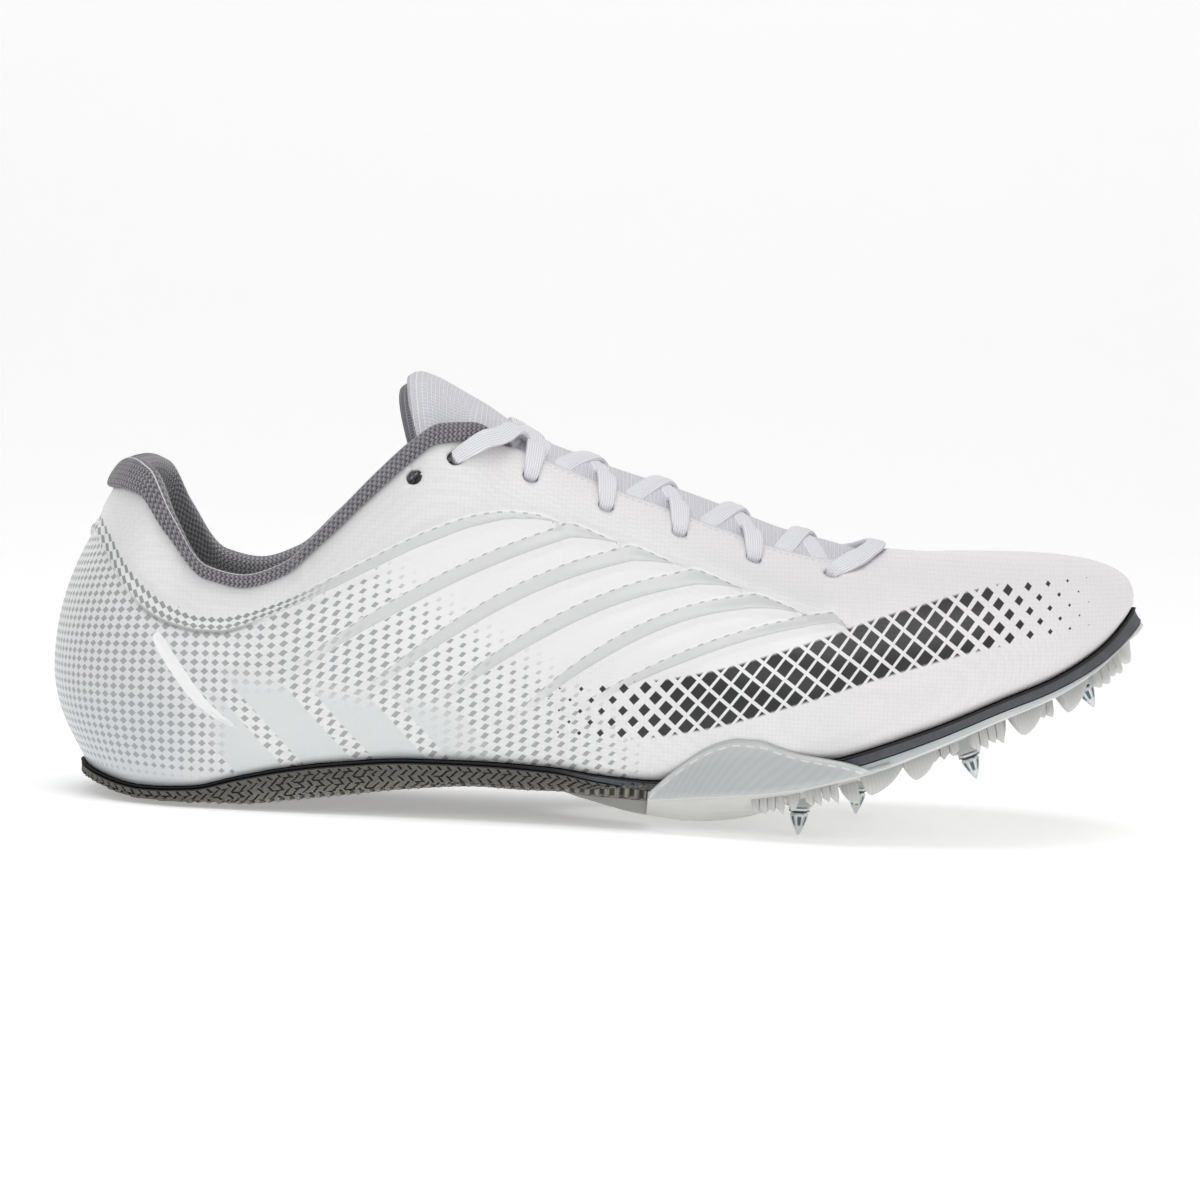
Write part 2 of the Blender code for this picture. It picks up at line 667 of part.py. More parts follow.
# Cutter with the forked front of the heel rubber, and the same grown by the gap
def fork_cutter(name, grow):
    edge = [(-0.06, -0.07), (FORK_EDGE + grow, -0.07)]
    for n in range(9):
        y = FORK_WIDTH * (n / 8 - 0.5)
        edge.append((FORK_CENTRE + grow + (FORK_EDGE - FORK_CENTRE) * (2 * y / FORK_WIDTH) ** 2, y))
    edge += [(FORK_EDGE + grow, 0.07), (-0.06, 0.07)]
    rings = [[Vector((x, y, z)) for x, y in edge] for z in (-0.05, 0.15)]
    return mesh_object(name, *tube(rings), smooth=False)


boolean(heel, fork_cutter("heel_cutter", 0.0), "INTERSECT")
boolean(plate, fork_cutter("plate_cutter", GAP), "DIFFERENCE")


# Wings of the plate, rising over the upper's sides at the middle of the foot
wing_table = np.array(WING)
wing_curve = Curve(wing_table[:, 0] * LENGTH, wing_table[:, 1:] * TOE_RISE)


def wing_ring(x, side):
    cut = section_at(x)
    foot = foot_radius(cut, side)
    face = profile(cut, side, 8, 8)
    base = foot_line(x)
    top = wing_curve(x)[0]
    inner = [(foot + EDGE + 0.0004, sole_top(x, 1) - 0.0010)]
    for n in range(5):
        z = base + (max(top, base) - base) * n / 4 - 0.0002 * (4 - n)
        z = min(z, top - 0.0003 * (4 - n))
        r = max(float(np.interp(z, face[:, 1], face[:, 0])) + 0.0004, foot + EDGE + 0.0004)
        inner.append((r, z))
    outer = [(r + WING_WALL * (1.0 + 0.12 * (5 - n)), z) for n, (r, z) in enumerate(inner)]
    outer[0] = (outer[0][0], band_line(x) + 0.0006)
    ring = inner + outer[::-1] + [(foot - 0.0020, band_line(x) + 0.0014)]
    return [place(cut, side, r, z) for r, z in ring]


def joined(name, bodies):
    """One cutter object from separate closed bodies, given as points and faces."""
    points, faces = [], []
    for body_points, body_faces in bodies:
        first = len(points)
        points += list(body_points)
        faces += [[first + i for i in face] for face in body_faces]
    return mesh_object(name, points, faces, smooth=False)


def cone_body(centre, up, radius_low, radius_high, height, segments, stretch=None, along=None):
    """A cone or cylinder from its lower centre, as points and faces."""
    work = bmesh.new()
    bmesh.ops.create_cone(work, cap_ends=True, segments=segments, radius1=radius_low,
                          radius2=radius_high, depth=height)
    z = Vector(up).normalized()
    x = Vector(along or (1, 0, 0))
    x = (x - z * x.dot(z)).normalized()
    y = z.cross(x)
    turn = Matrix((x, y, z)).transposed().to_4x4()
    size = Matrix.Diagonal((*(stretch or (1, 1)), 1, 1))
    move = Matrix.Translation(Vector(centre) + z * height / 2)
    bmesh.ops.transform(work, matrix=move @ turn @ size, verts=work.verts)
    result = [v.co.copy() for v in work.verts], [[v.index for v in f.verts] for f in work.faces]
    work.free()
    return result


wing_places = [row[0] * LENGTH for row in WING]
wings = [tube([wing_ring(x, side) for x in wing_places]) for side in (-1, 1)]
boolean(plate, joined("wing_bodies", wings), "UNION")


# Teeth along the edge of the plate, and posts that hold the spikes
def edge_point(mark, side):
    cut = section(mark)
    ahead = max(math.cos(math.radians(cut["turn"])), 0)
    p = place(cut, side, foot_radius(cut, side) - 0.0010 + TOE_LIP * ahead, 0)
    p.z = band_line(p.x)
    return p


def mark_of(x):
    return float(np.interp(x, row_array[first_flat:last_flat + 1, 0],
                           marks[first_flat:last_flat + 1]))


def tooth_ring(mark, side, depth):
    """Four corners across a tooth at a distance along the edge, from its root to its depth."""
    here, ahead = edge_point(mark, side), edge_point(mark + 0.001, side)
    run = (ahead - here).normalized()
    out = run.cross(Vector((0, 0, 1))) * (-side)
    out = Vector((out.x, out.y, 0)).normalized()
    rise = (band_line(here.x + 0.001) - band_line(here.x - 0.001)) / 0.002
    down = Vector((rise, 0, -1)).normalized()
    ring = []
    for across, deep in ((0, 0), (1, 0), (1, 1), (0, 1)):
        inset = TOOTH_THICKNESS * (across + deep * (0.12 - 0.42 * across) * depth / TOOTH_HEIGHT)
        root = here - out * inset
        root.z = band_line(root.x)
        ring.append(root + down * (depth if deep else -TOOTH_ROOT))
    return ring


teeth = []
for side in (-1, 1):
    mark = mark_of(TEETH_START)
    while mark + TOOTH_LENGTH < marks[-1] - 0.001:
        teeth.append(tube([tooth_ring(mark + TOOTH_LENGTH * along, side, TOOTH_HEIGHT * deep)
                           for along, deep in TOOTH_OUTLINE]))
        mark += TOOTH_PITCH
boolean(plate, joined("tooth_bodies", teeth), "UNION")

posts = []
profile_points = [(0.0004, 0.0), (SPIKE_TOP_RADIUS, SPIKE_POINT),
                  (SPIKE_HEX_RADIUS, SPIKE_POINT), (SPIKE_HEX_RADIUS, SPIKE_POINT + SPIKE_BASE)]
spike_rings = [[Vector((r * math.cos(math.tau * n / 6), r * math.sin(math.tau * n / 6), z))
                for n in range(6)] for r, z in profile_points]
spike_mesh = None
for name, along, across, tip_z, tilt in SPIKES:
    tip = Vector((along * LENGTH, across, tip_z))
    up = Vector((-math.sin(math.radians(tilt)), 0, math.cos(math.radians(tilt))))
    if spike_mesh is None:
        spike = mesh_object(name, *tube(spike_rings), spike_steel, smooth=False)
        spike_mesh = spike.data
    else:
        spike = bpy.data.objects.new(name, spike_mesh)
        shoe.objects.link(spike)
    spike.location = tip
    spike.rotation_euler = (0, -math.radians(tilt), 0)
    foot = tip + up * (SPIKE_POINT + SPIKE_BASE + GAP)
    depth = 0.0
    while (foot + up * depth).z < (keel_line(foot.x) + sole_top((foot + up * depth).x, 0)) / 2:
        depth += 0.0002
    posts.append(cone_body(foot, up, POST_RADIUS, POST_RADIUS * 1.15, depth, 8))
boolean(plate, joined("post_bodies", posts), "UNION")


# Laces: straps that climb out of an eyelet on one side and dive under the throat's other edge
def rim_radius(x):
    return section_at(x)["rim_l"]


def outer_height(x, side, r):
    face = profile(section_at(x), side, 2, 24)[2:][::-1]
    return float(np.interp(r, face[:, 0], face[:, 1]))


def lace_height(x, q, climbs):
    """Height under a lace at x and signed distance q across; climbs lists the sides it climbs."""
    side = -1 if q < 0 else 1
    r = abs(q)
    rim = rim_radius(x)
    if r >= rim:
        return outer_height(x, side, r)
    z = tongue_height(x, side, r)
    if side in climbs:
        step = outer_height(x, side, rim) - tongue_height(x, side, rim - 0.0002)
        reach = 0.0065 if len(climbs) == 1 else 0.5
        f = min(max((r - rim + reach + 0.001) / reach, 0), 1)
        z += step * f * f * (3 - 2 * f)
    return z


def lace_body(start, end, climbs, extra=0.0, count=9, bow=0.0, hump=0.0):
    """An oval strap between two points (x, signed distance across), bowed to the toe."""
    path = []
    for n in range(count):
        t = n / (count - 1)
        x = start[0] + (end[0] - start[0]) * t + bow * 4 * t * (1 - t)
        q = start[1] + (end[1] - start[1]) * t
        path.append((x, q, lace_height(x, q, climbs)))
    rings = []
    for n, (x, q, z) in enumerate(path):
        before, after = path[max(n - 1, 0)], path[min(n + 1, count - 1)]
        run = Vector(after) - Vector(before)
        run.normalize()
        slope_x = (lace_height(x + 0.001, q, climbs) - lace_height(x - 0.001, q, climbs)) / 0.002
        slope_q = (lace_height(x, q + 0.0007, climbs)
                   - lace_height(x, q - 0.0007, climbs)) / 0.0014
        normal = Vector((-slope_x, -slope_q, 1)).normalized()
        normal = (normal - run * normal.dot(run)).normalized()
        wide = normal.cross(run)
        lift = LACE_LIFT + LACE_THICKNESS / 2
        if q * climbs[0] > 0:
            lift += extra * min(1, max(0, abs(q) / 0.010 - 0.8))
        lift += hump * math.exp(-(q / 0.007) ** 2)
        centre = Vector((x, q + spine(x), z)) + normal * lift
        rings.append([centre + wide * (LACE_WIDTH / 2 * a) + normal * (LACE_THICKNESS / 2 * b)
                      for a, b in ((-1, 0), (-0.6, -1), (0.6, -1), (1, 0), (0.6, 1), (-0.6, 1))])
    return rings


def eyelet_place(number, side):
    centre, normal = eyelet_frame(number, side)
    return centre.x, centre.y - spine(centre.x)


def edge_place(along, side):
    """A point of the tongue just inside the throat's edge."""
    x = along * LENGTH
    return x, side * (rim_radius(x) - 0.0032)


def lace_piece(name, straps):
    first = mesh_object(name, *tube(straps[0]), lace_white)
    for other in straps[1:]:
        boolean(first, mesh_object(name + "_strap", *tube(other), smooth=False), "UNION")
    return first


last = len(EYELETS) - 1
front_left, front_right = eyelet_place(last, -1), eyelet_place(last, 1)
lace_piece("lace_front_bar", [lace_body(front_left, front_right, (-1, 1), 0.0, 13, LACE_BOW)])
lace_piece("lace_crossing_front", [lace_body(edge_place(LACE_FRONT[0], side),
                                             edge_place(LACE_FRONT[1], -side), (0,),
                                             hump=LACE_HUMP * (side > 0))
                                   for side in (-1, 1)])
for number, dive in ((5, 0.464), (4, 0.396), (3, 0.330)):
    straps = [lace_body(eyelet_place(number, side), edge_place(dive, -side), (side,),
                        hump=LACE_HUMP * (side > 0))
              for side in (-1, 1)]
    lace_piece("lace_crossing_%d" % number, straps)
top_straps = []
for side in (-1, 1):
    top_straps.append(lace_body(eyelet_place(2, side), edge_place(0.276, -side), (side,),
                                hump=LACE_HUMP))
    top_straps.append(lace_body(eyelet_place(1, side), edge_place(0.306, -side), (side,), 0.0019))
lace_piece("lace_crossing_top", top_straps)
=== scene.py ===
import math

import bmesh
import bpy
import numpy as np
from mathutils import Matrix, Vector


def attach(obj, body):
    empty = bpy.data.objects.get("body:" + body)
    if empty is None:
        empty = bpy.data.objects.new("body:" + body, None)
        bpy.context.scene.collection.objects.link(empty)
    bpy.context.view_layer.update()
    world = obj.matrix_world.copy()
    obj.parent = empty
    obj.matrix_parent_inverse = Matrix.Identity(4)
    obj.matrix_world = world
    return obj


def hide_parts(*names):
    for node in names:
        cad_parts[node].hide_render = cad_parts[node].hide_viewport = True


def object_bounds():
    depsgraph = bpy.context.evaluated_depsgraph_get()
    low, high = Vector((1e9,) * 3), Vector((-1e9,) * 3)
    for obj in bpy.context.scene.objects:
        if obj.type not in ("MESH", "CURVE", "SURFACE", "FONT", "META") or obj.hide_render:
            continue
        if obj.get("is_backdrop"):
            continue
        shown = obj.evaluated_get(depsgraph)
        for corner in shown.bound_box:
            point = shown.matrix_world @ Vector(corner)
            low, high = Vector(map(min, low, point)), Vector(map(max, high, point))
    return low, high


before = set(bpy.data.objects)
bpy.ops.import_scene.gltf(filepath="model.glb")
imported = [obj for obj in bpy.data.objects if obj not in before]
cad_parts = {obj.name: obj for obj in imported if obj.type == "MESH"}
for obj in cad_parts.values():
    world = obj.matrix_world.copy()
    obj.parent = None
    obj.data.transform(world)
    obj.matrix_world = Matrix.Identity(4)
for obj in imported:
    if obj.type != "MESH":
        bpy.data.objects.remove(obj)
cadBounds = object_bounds()
print("frame loaded")

# The shoe's sizes in metres: +X to the toe, +Y to the inner side, heel on the floor at the origin
shoe = {"length": 0.280, "ballWidth": 0.092, "heelWidth": 0.062, "collarHeight": 0.086,
        "toeRise": 0.060, "gap": 0.0003, "wall": 0.0018, "strip": 0.0033,
        "medialLift": 0.0012, "heelAxis": 5 / 280, "toeAxis": 196 / 280}

# Sections of the upper from the heel's back to the toe's tip, as shares of the sizes
sectionColumns = ("along", "turn", "footL", "footM", "bellyL", "bellyM", "up",
                  "rimL", "rimM", "top", "lean", "side", "crown")
heelAxis, toeAxis = shoe["heelAxis"], shoe["toeAxis"]
sectionRows = (
    (heelAxis, 180, 0.505, 0.505, 0.156, 0.156, 0.290, 0.395, 0.395, 0.959, 62, 0.40, 0.35),
    (heelAxis, 150, 0.502, 0.502, 0.138, 0.138, 0.295, 0.403, 0.403, 0.965, 66, 0.40, 0.35),
    (heelAxis, 130, 0.494, 0.494, 0.116, 0.116, 0.305, 0.413, 0.413, 0.942, 70, 0.40, 0.35),
    (heelAxis, 112, 0.484, 0.484, 0.094, 0.094, 0.326, 0.423, 0.423, 0.820, 75, 0.40, 0.35),
    (heelAxis, 90, 0.484, 0.484, 0.071, 0.068, 0.314, 0.435, 0.435, 0.679, 79, 0.40, 0.35),
    (0.050, 90, 0.492, 0.481, 0.068, 0.068, 0.291, 0.442, 0.439, 0.658, 79, 0.40, 0.35),
    (0.086, 90, 0.497, 0.468, 0.068, 0.074, 0.279, 0.444, 0.439, 0.698, 77, 0.40, 0.35),
    (0.121, 90, 0.498, 0.453, 0.071, 0.084, 0.279, 0.439, 0.434, 0.812, 73, 0.40, 0.35),
    (0.157, 90, 0.490, 0.433, 0.073, 0.095, 0.279, 0.423, 0.420, 0.946, 69, 0.40, 0.35),
    (0.193, 90, 0.475, 0.407, 0.074, 0.104, 0.279, 0.395, 0.395, 1.066, 63, 0.40, 0.35),
    (0.221, 90, 0.460, 0.386, 0.074, 0.110, 0.279, 0.362, 0.362, 1.130, 57, 0.40, 0.35),
    (0.250, 90, 0.444, 0.367, 0.075, 0.115, 0.279, 0.321, 0.321, 1.138, 50, 0.40, 0.35),
    (0.279, 90, 0.431, 0.348, 0.075, 0.119, 0.279, 0.279, 0.279, 1.102, 43, 0.40, 0.36),
    (0.329, 90, 0.414, 0.323, 0.072, 0.119, 0.279, 0.240, 0.240, 1.044, 37, 0.42, 0.36),
    (0.379, 90, 0.413, 0.316, 0.066, 0.112, 0.267, 0.219, 0.219, 0.984, 35, 0.44, 0.36),
    (0.429, 90, 0.427, 0.328, 0.058, 0.099, 0.233, 0.203, 0.203, 0.933, 33, 0.46, 0.36),
    (0.482, 90, 0.455, 0.362, 0.047, 0.078, 0.186, 0.189, 0.189, 0.877, 32, 0.50, 0.35),
    (0.536, 90, 0.483, 0.407, 0.035, 0.054, 0.140, 0.174, 0.174, 0.826, 30, 0.54, 0.34),
    (0.579, 90, 0.503, 0.433, 0.028, 0.043, 0.116, 0.150, 0.150, 0.804, 27, 0.56, 0.33),
    (0.604, 90, 0.506, 0.440, 0.025, 0.038, 0.107, 0.126, 0.126, 0.806, 22, 0.57, 0.32),
    (0.620, 90, 0.508, 0.444, 0.023, 0.034, 0.102, 0.090, 0.090, 0.818, 14, 0.57, 0.32),
    (0.629, 90, 0.507, 0.446, 0.022, 0.033, 0.100, 0.045, 0.045, 0.829, 6, 0.58, 0.32),
    (0.633, 90, 0.507, 0.446, 0.022, 0.033, 0.099, 0.000, 0.000, 0.834, 0, 0.58, 0.32),
    (0.668, 90, 0.507, 0.443, 0.022, 0.028, 0.093, 0.000, 0.000, 0.831, 0, 0.60, 0.36),
    (toeAxis, 90, 0.493, 0.439, 0.022, 0.026, 0.087, 0.000, 0.000, 0.837, 0, 0.60, 0.42),
    (toeAxis, 65, 0.450, 0.435, 0.020, 0.022, 0.076, 0.000, 0.000, 0.837, -1, 0.62, 0.50),
    (toeAxis, 42, 0.437, 0.452, 0.016, 0.017, 0.064, 0.000, 0.000, 0.837, -2, 0.66, 0.60),
    (toeAxis, 20, 0.457, 0.478, 0.012, 0.013, 0.047, 0.000, 0.000, 0.837, -3, 0.70, 0.72),
    (toeAxis, 0, 0.485, 0.485, 0.009, 0.009, 0.029, 0.000, 0.000, 0.837, -4, 0.74, 0.82),
)

# Heights of the sole: along, the upper's lower edge, the strip, the keel and the side's lower edge
soleRows = (
    (-0.110, 0.152, 0.36, 0.115, 0.095), (-0.075, 0.110, 0.36, 0.043, 0.057),
    (-0.050, 0.087, 0.36, 0.010, 0.030), (-0.034, 0.080, 0.36, 0.000, 0.022),
    (0.014, 0.093, 0.36, 0.000, 0.020), (0.054, 0.143, 0.39, 0.000, 0.027),
    (0.100, 0.193, 0.42, 0.027, 0.050), (0.150, 0.228, 0.45, 0.060, 0.083),
    (0.207, 0.252, 0.45, 0.097, 0.123), (0.271, 0.255, 0.48, 0.120, 0.153),
    (0.336, 0.247, 0.61, 0.105, 0.140), (0.379, 0.227, 0.73, 0.065, 0.127),
    (0.421, 0.220, 0.85, 0.037, 0.133), (0.464, 0.250, 0.91, 0.023, 0.157),
    (0.507, 0.287, 0.97, 0.047, 0.182), (0.543, 0.317, 1.00, 0.110, 0.210),
    (0.582, 0.357, 1.00, 0.187, 0.257), (0.629, 0.433, 1.00, 0.267, 0.328),
    (0.679, 0.527, 0.95, 0.380, 0.432), (0.729, 0.630, 0.92, 0.500, 0.540),
    (0.779, 0.723, 0.95, 0.612, 0.636), (0.821, 0.830, 1.10, 0.725, 0.743),
    (0.857, 0.975, 1.45, 0.862, 0.868), (0.873, 1.050, 1.82, 0.885, 0.892),
    (0.890, 1.120, 2.00, 0.930, 0.935),
)


class Curve:
    # smooth monotone interpolation of the columns of a table
    def __init__(self, where, values):
        self.x = np.asarray(where, float)
        self.y = np.asarray(values, float)
        slope = np.diff(self.y, axis=0) / np.diff(self.x)[:, None]
        inner = np.zeros_like(self.y)
        a, b = slope[:-1], slope[1:]
        total = a + b
        same = (a * b > 0) & (np.abs(total) > 1e-12)
        inner[1:-1] = np.where(same, 2 * a * b / np.where(same, total, 1), 0)
        inner[0], inner[-1] = slope[0], slope[-1]
        self.slope = inner

    def at(self, t):
        # t is one number or an array; the last axis of the answer is the column
        t = np.clip(np.asarray(t, float), self.x[0], self.x[-1])
        i = np.clip(np.searchsorted(self.x, t, side="right") - 1, 0, len(self.x) - 2)
        h = self.x[i + 1] - self.x[i]
        s = ((t - self.x[i]) / h)[..., None]
        rise = self.y[i + 1] - self.y[i]
        m0, m1 = self.slope[i] * h[..., None], self.slope[i + 1] * h[..., None]
        return self.y[i] + s * m0 + s * s * (3 * rise - 2 * m0 - m1) + s ** 3 * (m0 + m1 - 2 * rise)


def tableCurve(rows, scale=1.0):
    # a curve through a table whose first column is the way along, each column times its scale
    table = np.array(rows, float) * scale
    return Curve(table[:, 0], table[:, 1:])


def runAlong(points):
    # the distance along a line of points, from zero at its first
    steps = np.linalg.norm(np.diff(np.array(points, float), axis=0), axis=1)
    return np.concatenate(([0], np.cumsum(steps)))


def smooth(low, high, value):
    t = np.clip((value - low) / (high - low), 0, 1)
    return t * t * (3 - 2 * t)


length, toeRise = shoe["length"], shoe["toeRise"]
soleCurve = tableCurve(soleRows, (length, toeRise, shoe["strip"], toeRise, toeRise))
spineCurve = tableCurve(((0.0, 0.0), (0.11, 0.001), (0.15, 0.002), (0.19, 0.003), (0.25, 0.003)))


def footLine(x):
    return soleCurve.at(x)[..., 0]


def keelLine(x):
    return soleCurve.at(x)[..., 2]


def bandLine(x):
    return soleCurve.at(x)[..., 3]


def spine(x):
    if x < 0.03:
        return 0.0
    return 0.003 if x > toeAxis * length else float(spineCurve.at(x)[0])


def widthAt(x):
    f = min(max((x / length - 0.10) / 0.45, 0), 1)
    return shoe["heelWidth"] + (shoe["ballWidth"] - shoe["heelWidth"]) * f * f * (3 - 2 * f)


def realRow(row):
    width, tall = widthAt(row[0] * length), shoe["collarHeight"]
    scale = (length, 1, width, width, width, width, tall, width, width, tall, 1, 1, 1)
    return [value * by for value, by in zip(row, scale)]


lastRows = np.array([realRow(row) for row in sectionRows])
marks = [0.0]
for a, b in zip(lastRows, lastRows[1:]):
    swing = math.radians(abs(a[1] - b[1])) * (a[2] + b[2]) / 2
    marks.append(marks[-1] + abs(b[0] - a[0]) + swing)
lastCurve = Curve(marks, lastRows)
flatRows = [i for i, row in enumerate(lastRows) if row[1] == 90]


def section(mark):
    # the measures at a distance along the shoe's edge, and the way that the section points
    values = list(lastCurve.at(mark))
    for column in (0, 1):
        values[column] = float(np.interp(mark, marks, lastRows[:, column]))
    angle = math.radians(values[1])
    return dict(zip(sectionColumns, values), mark=mark, cos=math.cos(angle), sin=math.sin(angle))


def markOf(x):
    return float(np.interp(x, lastRows[flatRows, 0], np.array(marks)[flatRows]))


def sectionAt(x):
    return section(markOf(x))


def footOf(cut, side):
    return cut["footL" if side < 0 else "footM"]


def place(cut, side, r, z):
    return Vector((cut["along"] + cut["cos"] * r, spine(cut["along"]) + side * cut["sin"] * r, z))


def profile(cut, side, low=8, high=48):
    # the outer face in a section, as (r, z) from the lower edge to the rim
    letter = "L" if side < 0 else "M"
    foot, belly, rim = cut["foot" + letter], cut["belly" + letter], cut["rim" + letter]
    base = float(footLine(cut["along"] + foot * cut["cos"]))
    wide = np.array((foot + belly, base + cut["up"]))
    lift = 0.0
    if side > 0:
        lift = shoe["medialLift"] * min(max((0.06 - cut["along"]) / 0.03, 0), 1)
        lift *= cut["sin"] ** 2
    top = np.array((rim, cut["top"] + lift))
    t = (np.arange(low) / low)[:, None]
    lower = np.hstack((wide[0] - belly * (1 - t) ** 2, base + cut["up"] * t))
    lean = math.radians(cut["lean"])
    reach = float(np.hypot(*(top - wide)))
    p1 = wide + np.array((0, cut["side"] * (top[1] - wide[1])))
    p2 = top - cut["crown"] * reach * np.array((-math.cos(lean), math.sin(lean)))
    t = (np.arange(high + 1) / high)[:, None]
    upper = (1 - t) ** 3 * wide + 3 * (1 - t) ** 2 * t * p1 + 3 * (1 - t) * t * t * p2 + t ** 3 * top
    return np.vstack((lower, upper))


def edgeFrame(cut, side):
    points = profile(cut, side, 6, 36)[::-1]
    return points, runAlong(points)


def alongProfile(path, down, out):
    # the point at a distance down from the rim and out from the face
    points, run = path
    i = 1 if down <= 0 else max(min(int(np.searchsorted(run, down)), len(run) - 1), 1)
    way = (points[i] - points[i - 1]) / np.hypot(*(points[i] - points[i - 1]))
    base = points[0] + way * down
    if down > 0:
        base = np.array([np.interp(down, run, points[:, c]) for c in (0, 1)])
    return base + np.array((-way[1], way[0])) * out


def storeVectors(mesh, name, values):
    layer = mesh.attributes.new(name, "FLOAT_VECTOR", "POINT")
    layer.data.foreach_set("vector", np.asarray(values, np.float32).ravel())


def meshObject(name, points, faces, look, smoothAngle=40.0, merge=1e-6, fields=None):
    # fields are the shader's own coordinates, one row of three to a point
    mesh = bpy.data.meshes.new(name)
    mesh.from_pydata([tuple(p) for p in points], [], faces)
    for key, values in (fields or {}).items():
        storeVectors(mesh, key, values)
    if merge:
        work = bmesh.new()
        work.from_mesh(mesh)
        bmesh.ops.remove_doubles(work, verts=work.verts, dist=merge)
        bmesh.ops.dissolve_degenerate(work, edges=work.edges, dist=merge)
        if all(edge.is_manifold for edge in work.edges):
            bmesh.ops.recalc_face_normals(work, faces=work.faces)
        work.to_mesh(mesh)
        work.free()
    mesh.shade_smooth()
    mesh.set_sharp_from_angle(angle=math.radians(smoothAngle))
    made = bpy.data.objects.new(name, mesh)
    mesh.materials.append(look)
    bpy.context.scene.collection.objects.link(made)
    return made


def addWall(made, thickness):
    wall = made.modifiers.new("wall", "SOLIDIFY")
    wall.thickness = thickness
    wall.offset = -1
    return wall


def gridFaces(rows, columns, start=0, flip=False, closed=False):
    faces = []
    for i in range(rows - 1):
        for j in range(columns if closed else columns - 1):
            k = (j + 1) % columns
            low, high = start + i * columns, start + (i + 1) * columns
            face = [low + j, low + k, high + k, high + j]
            faces.append(face[::-1] if flip else face)
    return faces


def tube(rings, start=0):
    # rings joined into a closed body, whose points are numbered from start
    count, end = len(rings[0]), start + len(rings) * len(rings[0])
    faces = gridFaces(len(rings), count, start, closed=True)
    faces += [list(range(start, start + count))[::-1], list(range(end - count, end))]
    return [p for ring in rings for p in ring], faces


def keep(piece, slotName, *nodes):
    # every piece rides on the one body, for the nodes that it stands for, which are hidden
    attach(piece, "root")
    if nodes:
        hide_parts(*nodes)
    return piece


# Shader sums: a wire is a socket that Python's own signs work on
class Wire:
    def __init__(self, look, socket):
        self.look = look
        self.socket = socket

    def sum(self, operation, *others, first=None):
        values = [self if first is None else first] + [self if o is None else o for o in others]
        return self.look.node("ShaderNodeMath", {"operation": operation}, dict(enumerate(values)))

    def __add__(self, other):
        return self.sum("ADD", other)

    __radd__ = __add__

    def __mul__(self, other):
        return self.sum("MULTIPLY", other)

    __rmul__ = __mul__

    def __sub__(self, other):
        return self.sum("SUBTRACT", other)

    def __rsub__(self, other):
        return self.sum("SUBTRACT", None, first=other)

    def __truediv__(self, other):
        return self.sum("DIVIDE", other)

    def __abs__(self):
        return self.sum("ABSOLUTE")

    def least(self, other):
        return self.sum("MINIMUM", other)

    def most(self, other):
        return self.sum("MAXIMUM", other)

    def wave(self):
        return self.sum("SINE")

    def part(self):
        return self.sum("FRACT")

    def pingpong(self, size):
        return self.sum("PINGPONG", size)

    def step(self, low, high, out=(0.0, 1.0)):
        # a smooth step from out[0] at low to out[1] at high
        return self.look.node("ShaderNodeMapRange", {"interpolation_type": "SMOOTHSTEP"},
                              {"Value": self, "From Min": low, "From Max": high,
                               "To Min": out[0], "To Max": out[1]})


class Look:
    def __init__(self, name):
        self.material = bpy.data.materials.new(name)
        self.material.use_nodes = True
        self.tree = self.material.node_tree
        self.tree.nodes.clear()

    def node(self, kind, settings=None, inputs=None, output=0):
        made = self.tree.nodes.new(kind)
        for key, value in (settings or {}).items():
            setattr(made, key, value)
        for key, value in (inputs or {}).items():
            if isinstance(value, Wire):
                self.tree.links.new(value.socket, made.inputs[key])
            elif value is not None:
                made.inputs[key].default_value = value
        return Wire(self, made.outputs[output]) if len(made.outputs) else made

    def parts(self, vector):
        return [self.node("ShaderNodeSeparateXYZ", None, {0: vector}, output=i) for i in range(3)]

    def attribute(self, name):
        return self.parts(self.node("ShaderNodeAttribute", {"attribute_name": name}, output=1))

    def position(self):
        return self.node("ShaderNodeTexCoord", output=3)

    def noise(self, scale, detail=2.0):
        return self.node("ShaderNodeTexNoise", None,
                         {"Vector": self.position(), "Scale": scale, "Detail": detail})

    def mix(self, factor, a, b):
        inputs = {0: factor, 6: a if isinstance(a, Wire) else (*a, 1),
                  7: b if isinstance(b, Wire) else (*b, 1)}
        return self.node("ShaderNodeMix", {"data_type": "RGBA"}, inputs, 2)

    def paint(self, colour, *coats):
        # each coat is how much of it there is and its colour, over those before it
        for amount, tint in coats:
            colour = self.mix(amount, colour, tint)
        return colour

    def bump(self, height, distance, strength=1.0, normal=None):
        return self.node("ShaderNodeBump", None, {"Height": height, "Distance": distance,
                                                  "Strength": strength, "Normal": normal})

    def finish(self, colour, roughness, normal=None, **others):
        # others are sockets of the shader in camelCase, such as coatWeight= for Coat Weight
        inputs = {"Base Color": colour if isinstance(colour, Wire) else (*colour, 1),
                  "Roughness": roughness, "Normal": normal}
        for key, value in others.items():
            socket = "".join(" " + letter if letter.isupper() else letter for letter in key)
            inputs[socket.title()] = value
        shader = self.node("ShaderNodeBsdfPrincipled", None, inputs)
        self.node("ShaderNodeOutputMaterial", None, {"Surface": shader})
        return self.material


# Camera: the photograph's side view, a little above the shoe and rolled with it
view = {"distance": 1.1, "aim": (0.104, 0.0, 0.055), "rise": 4.2, "roll": 2.8, "lens": 128.3}


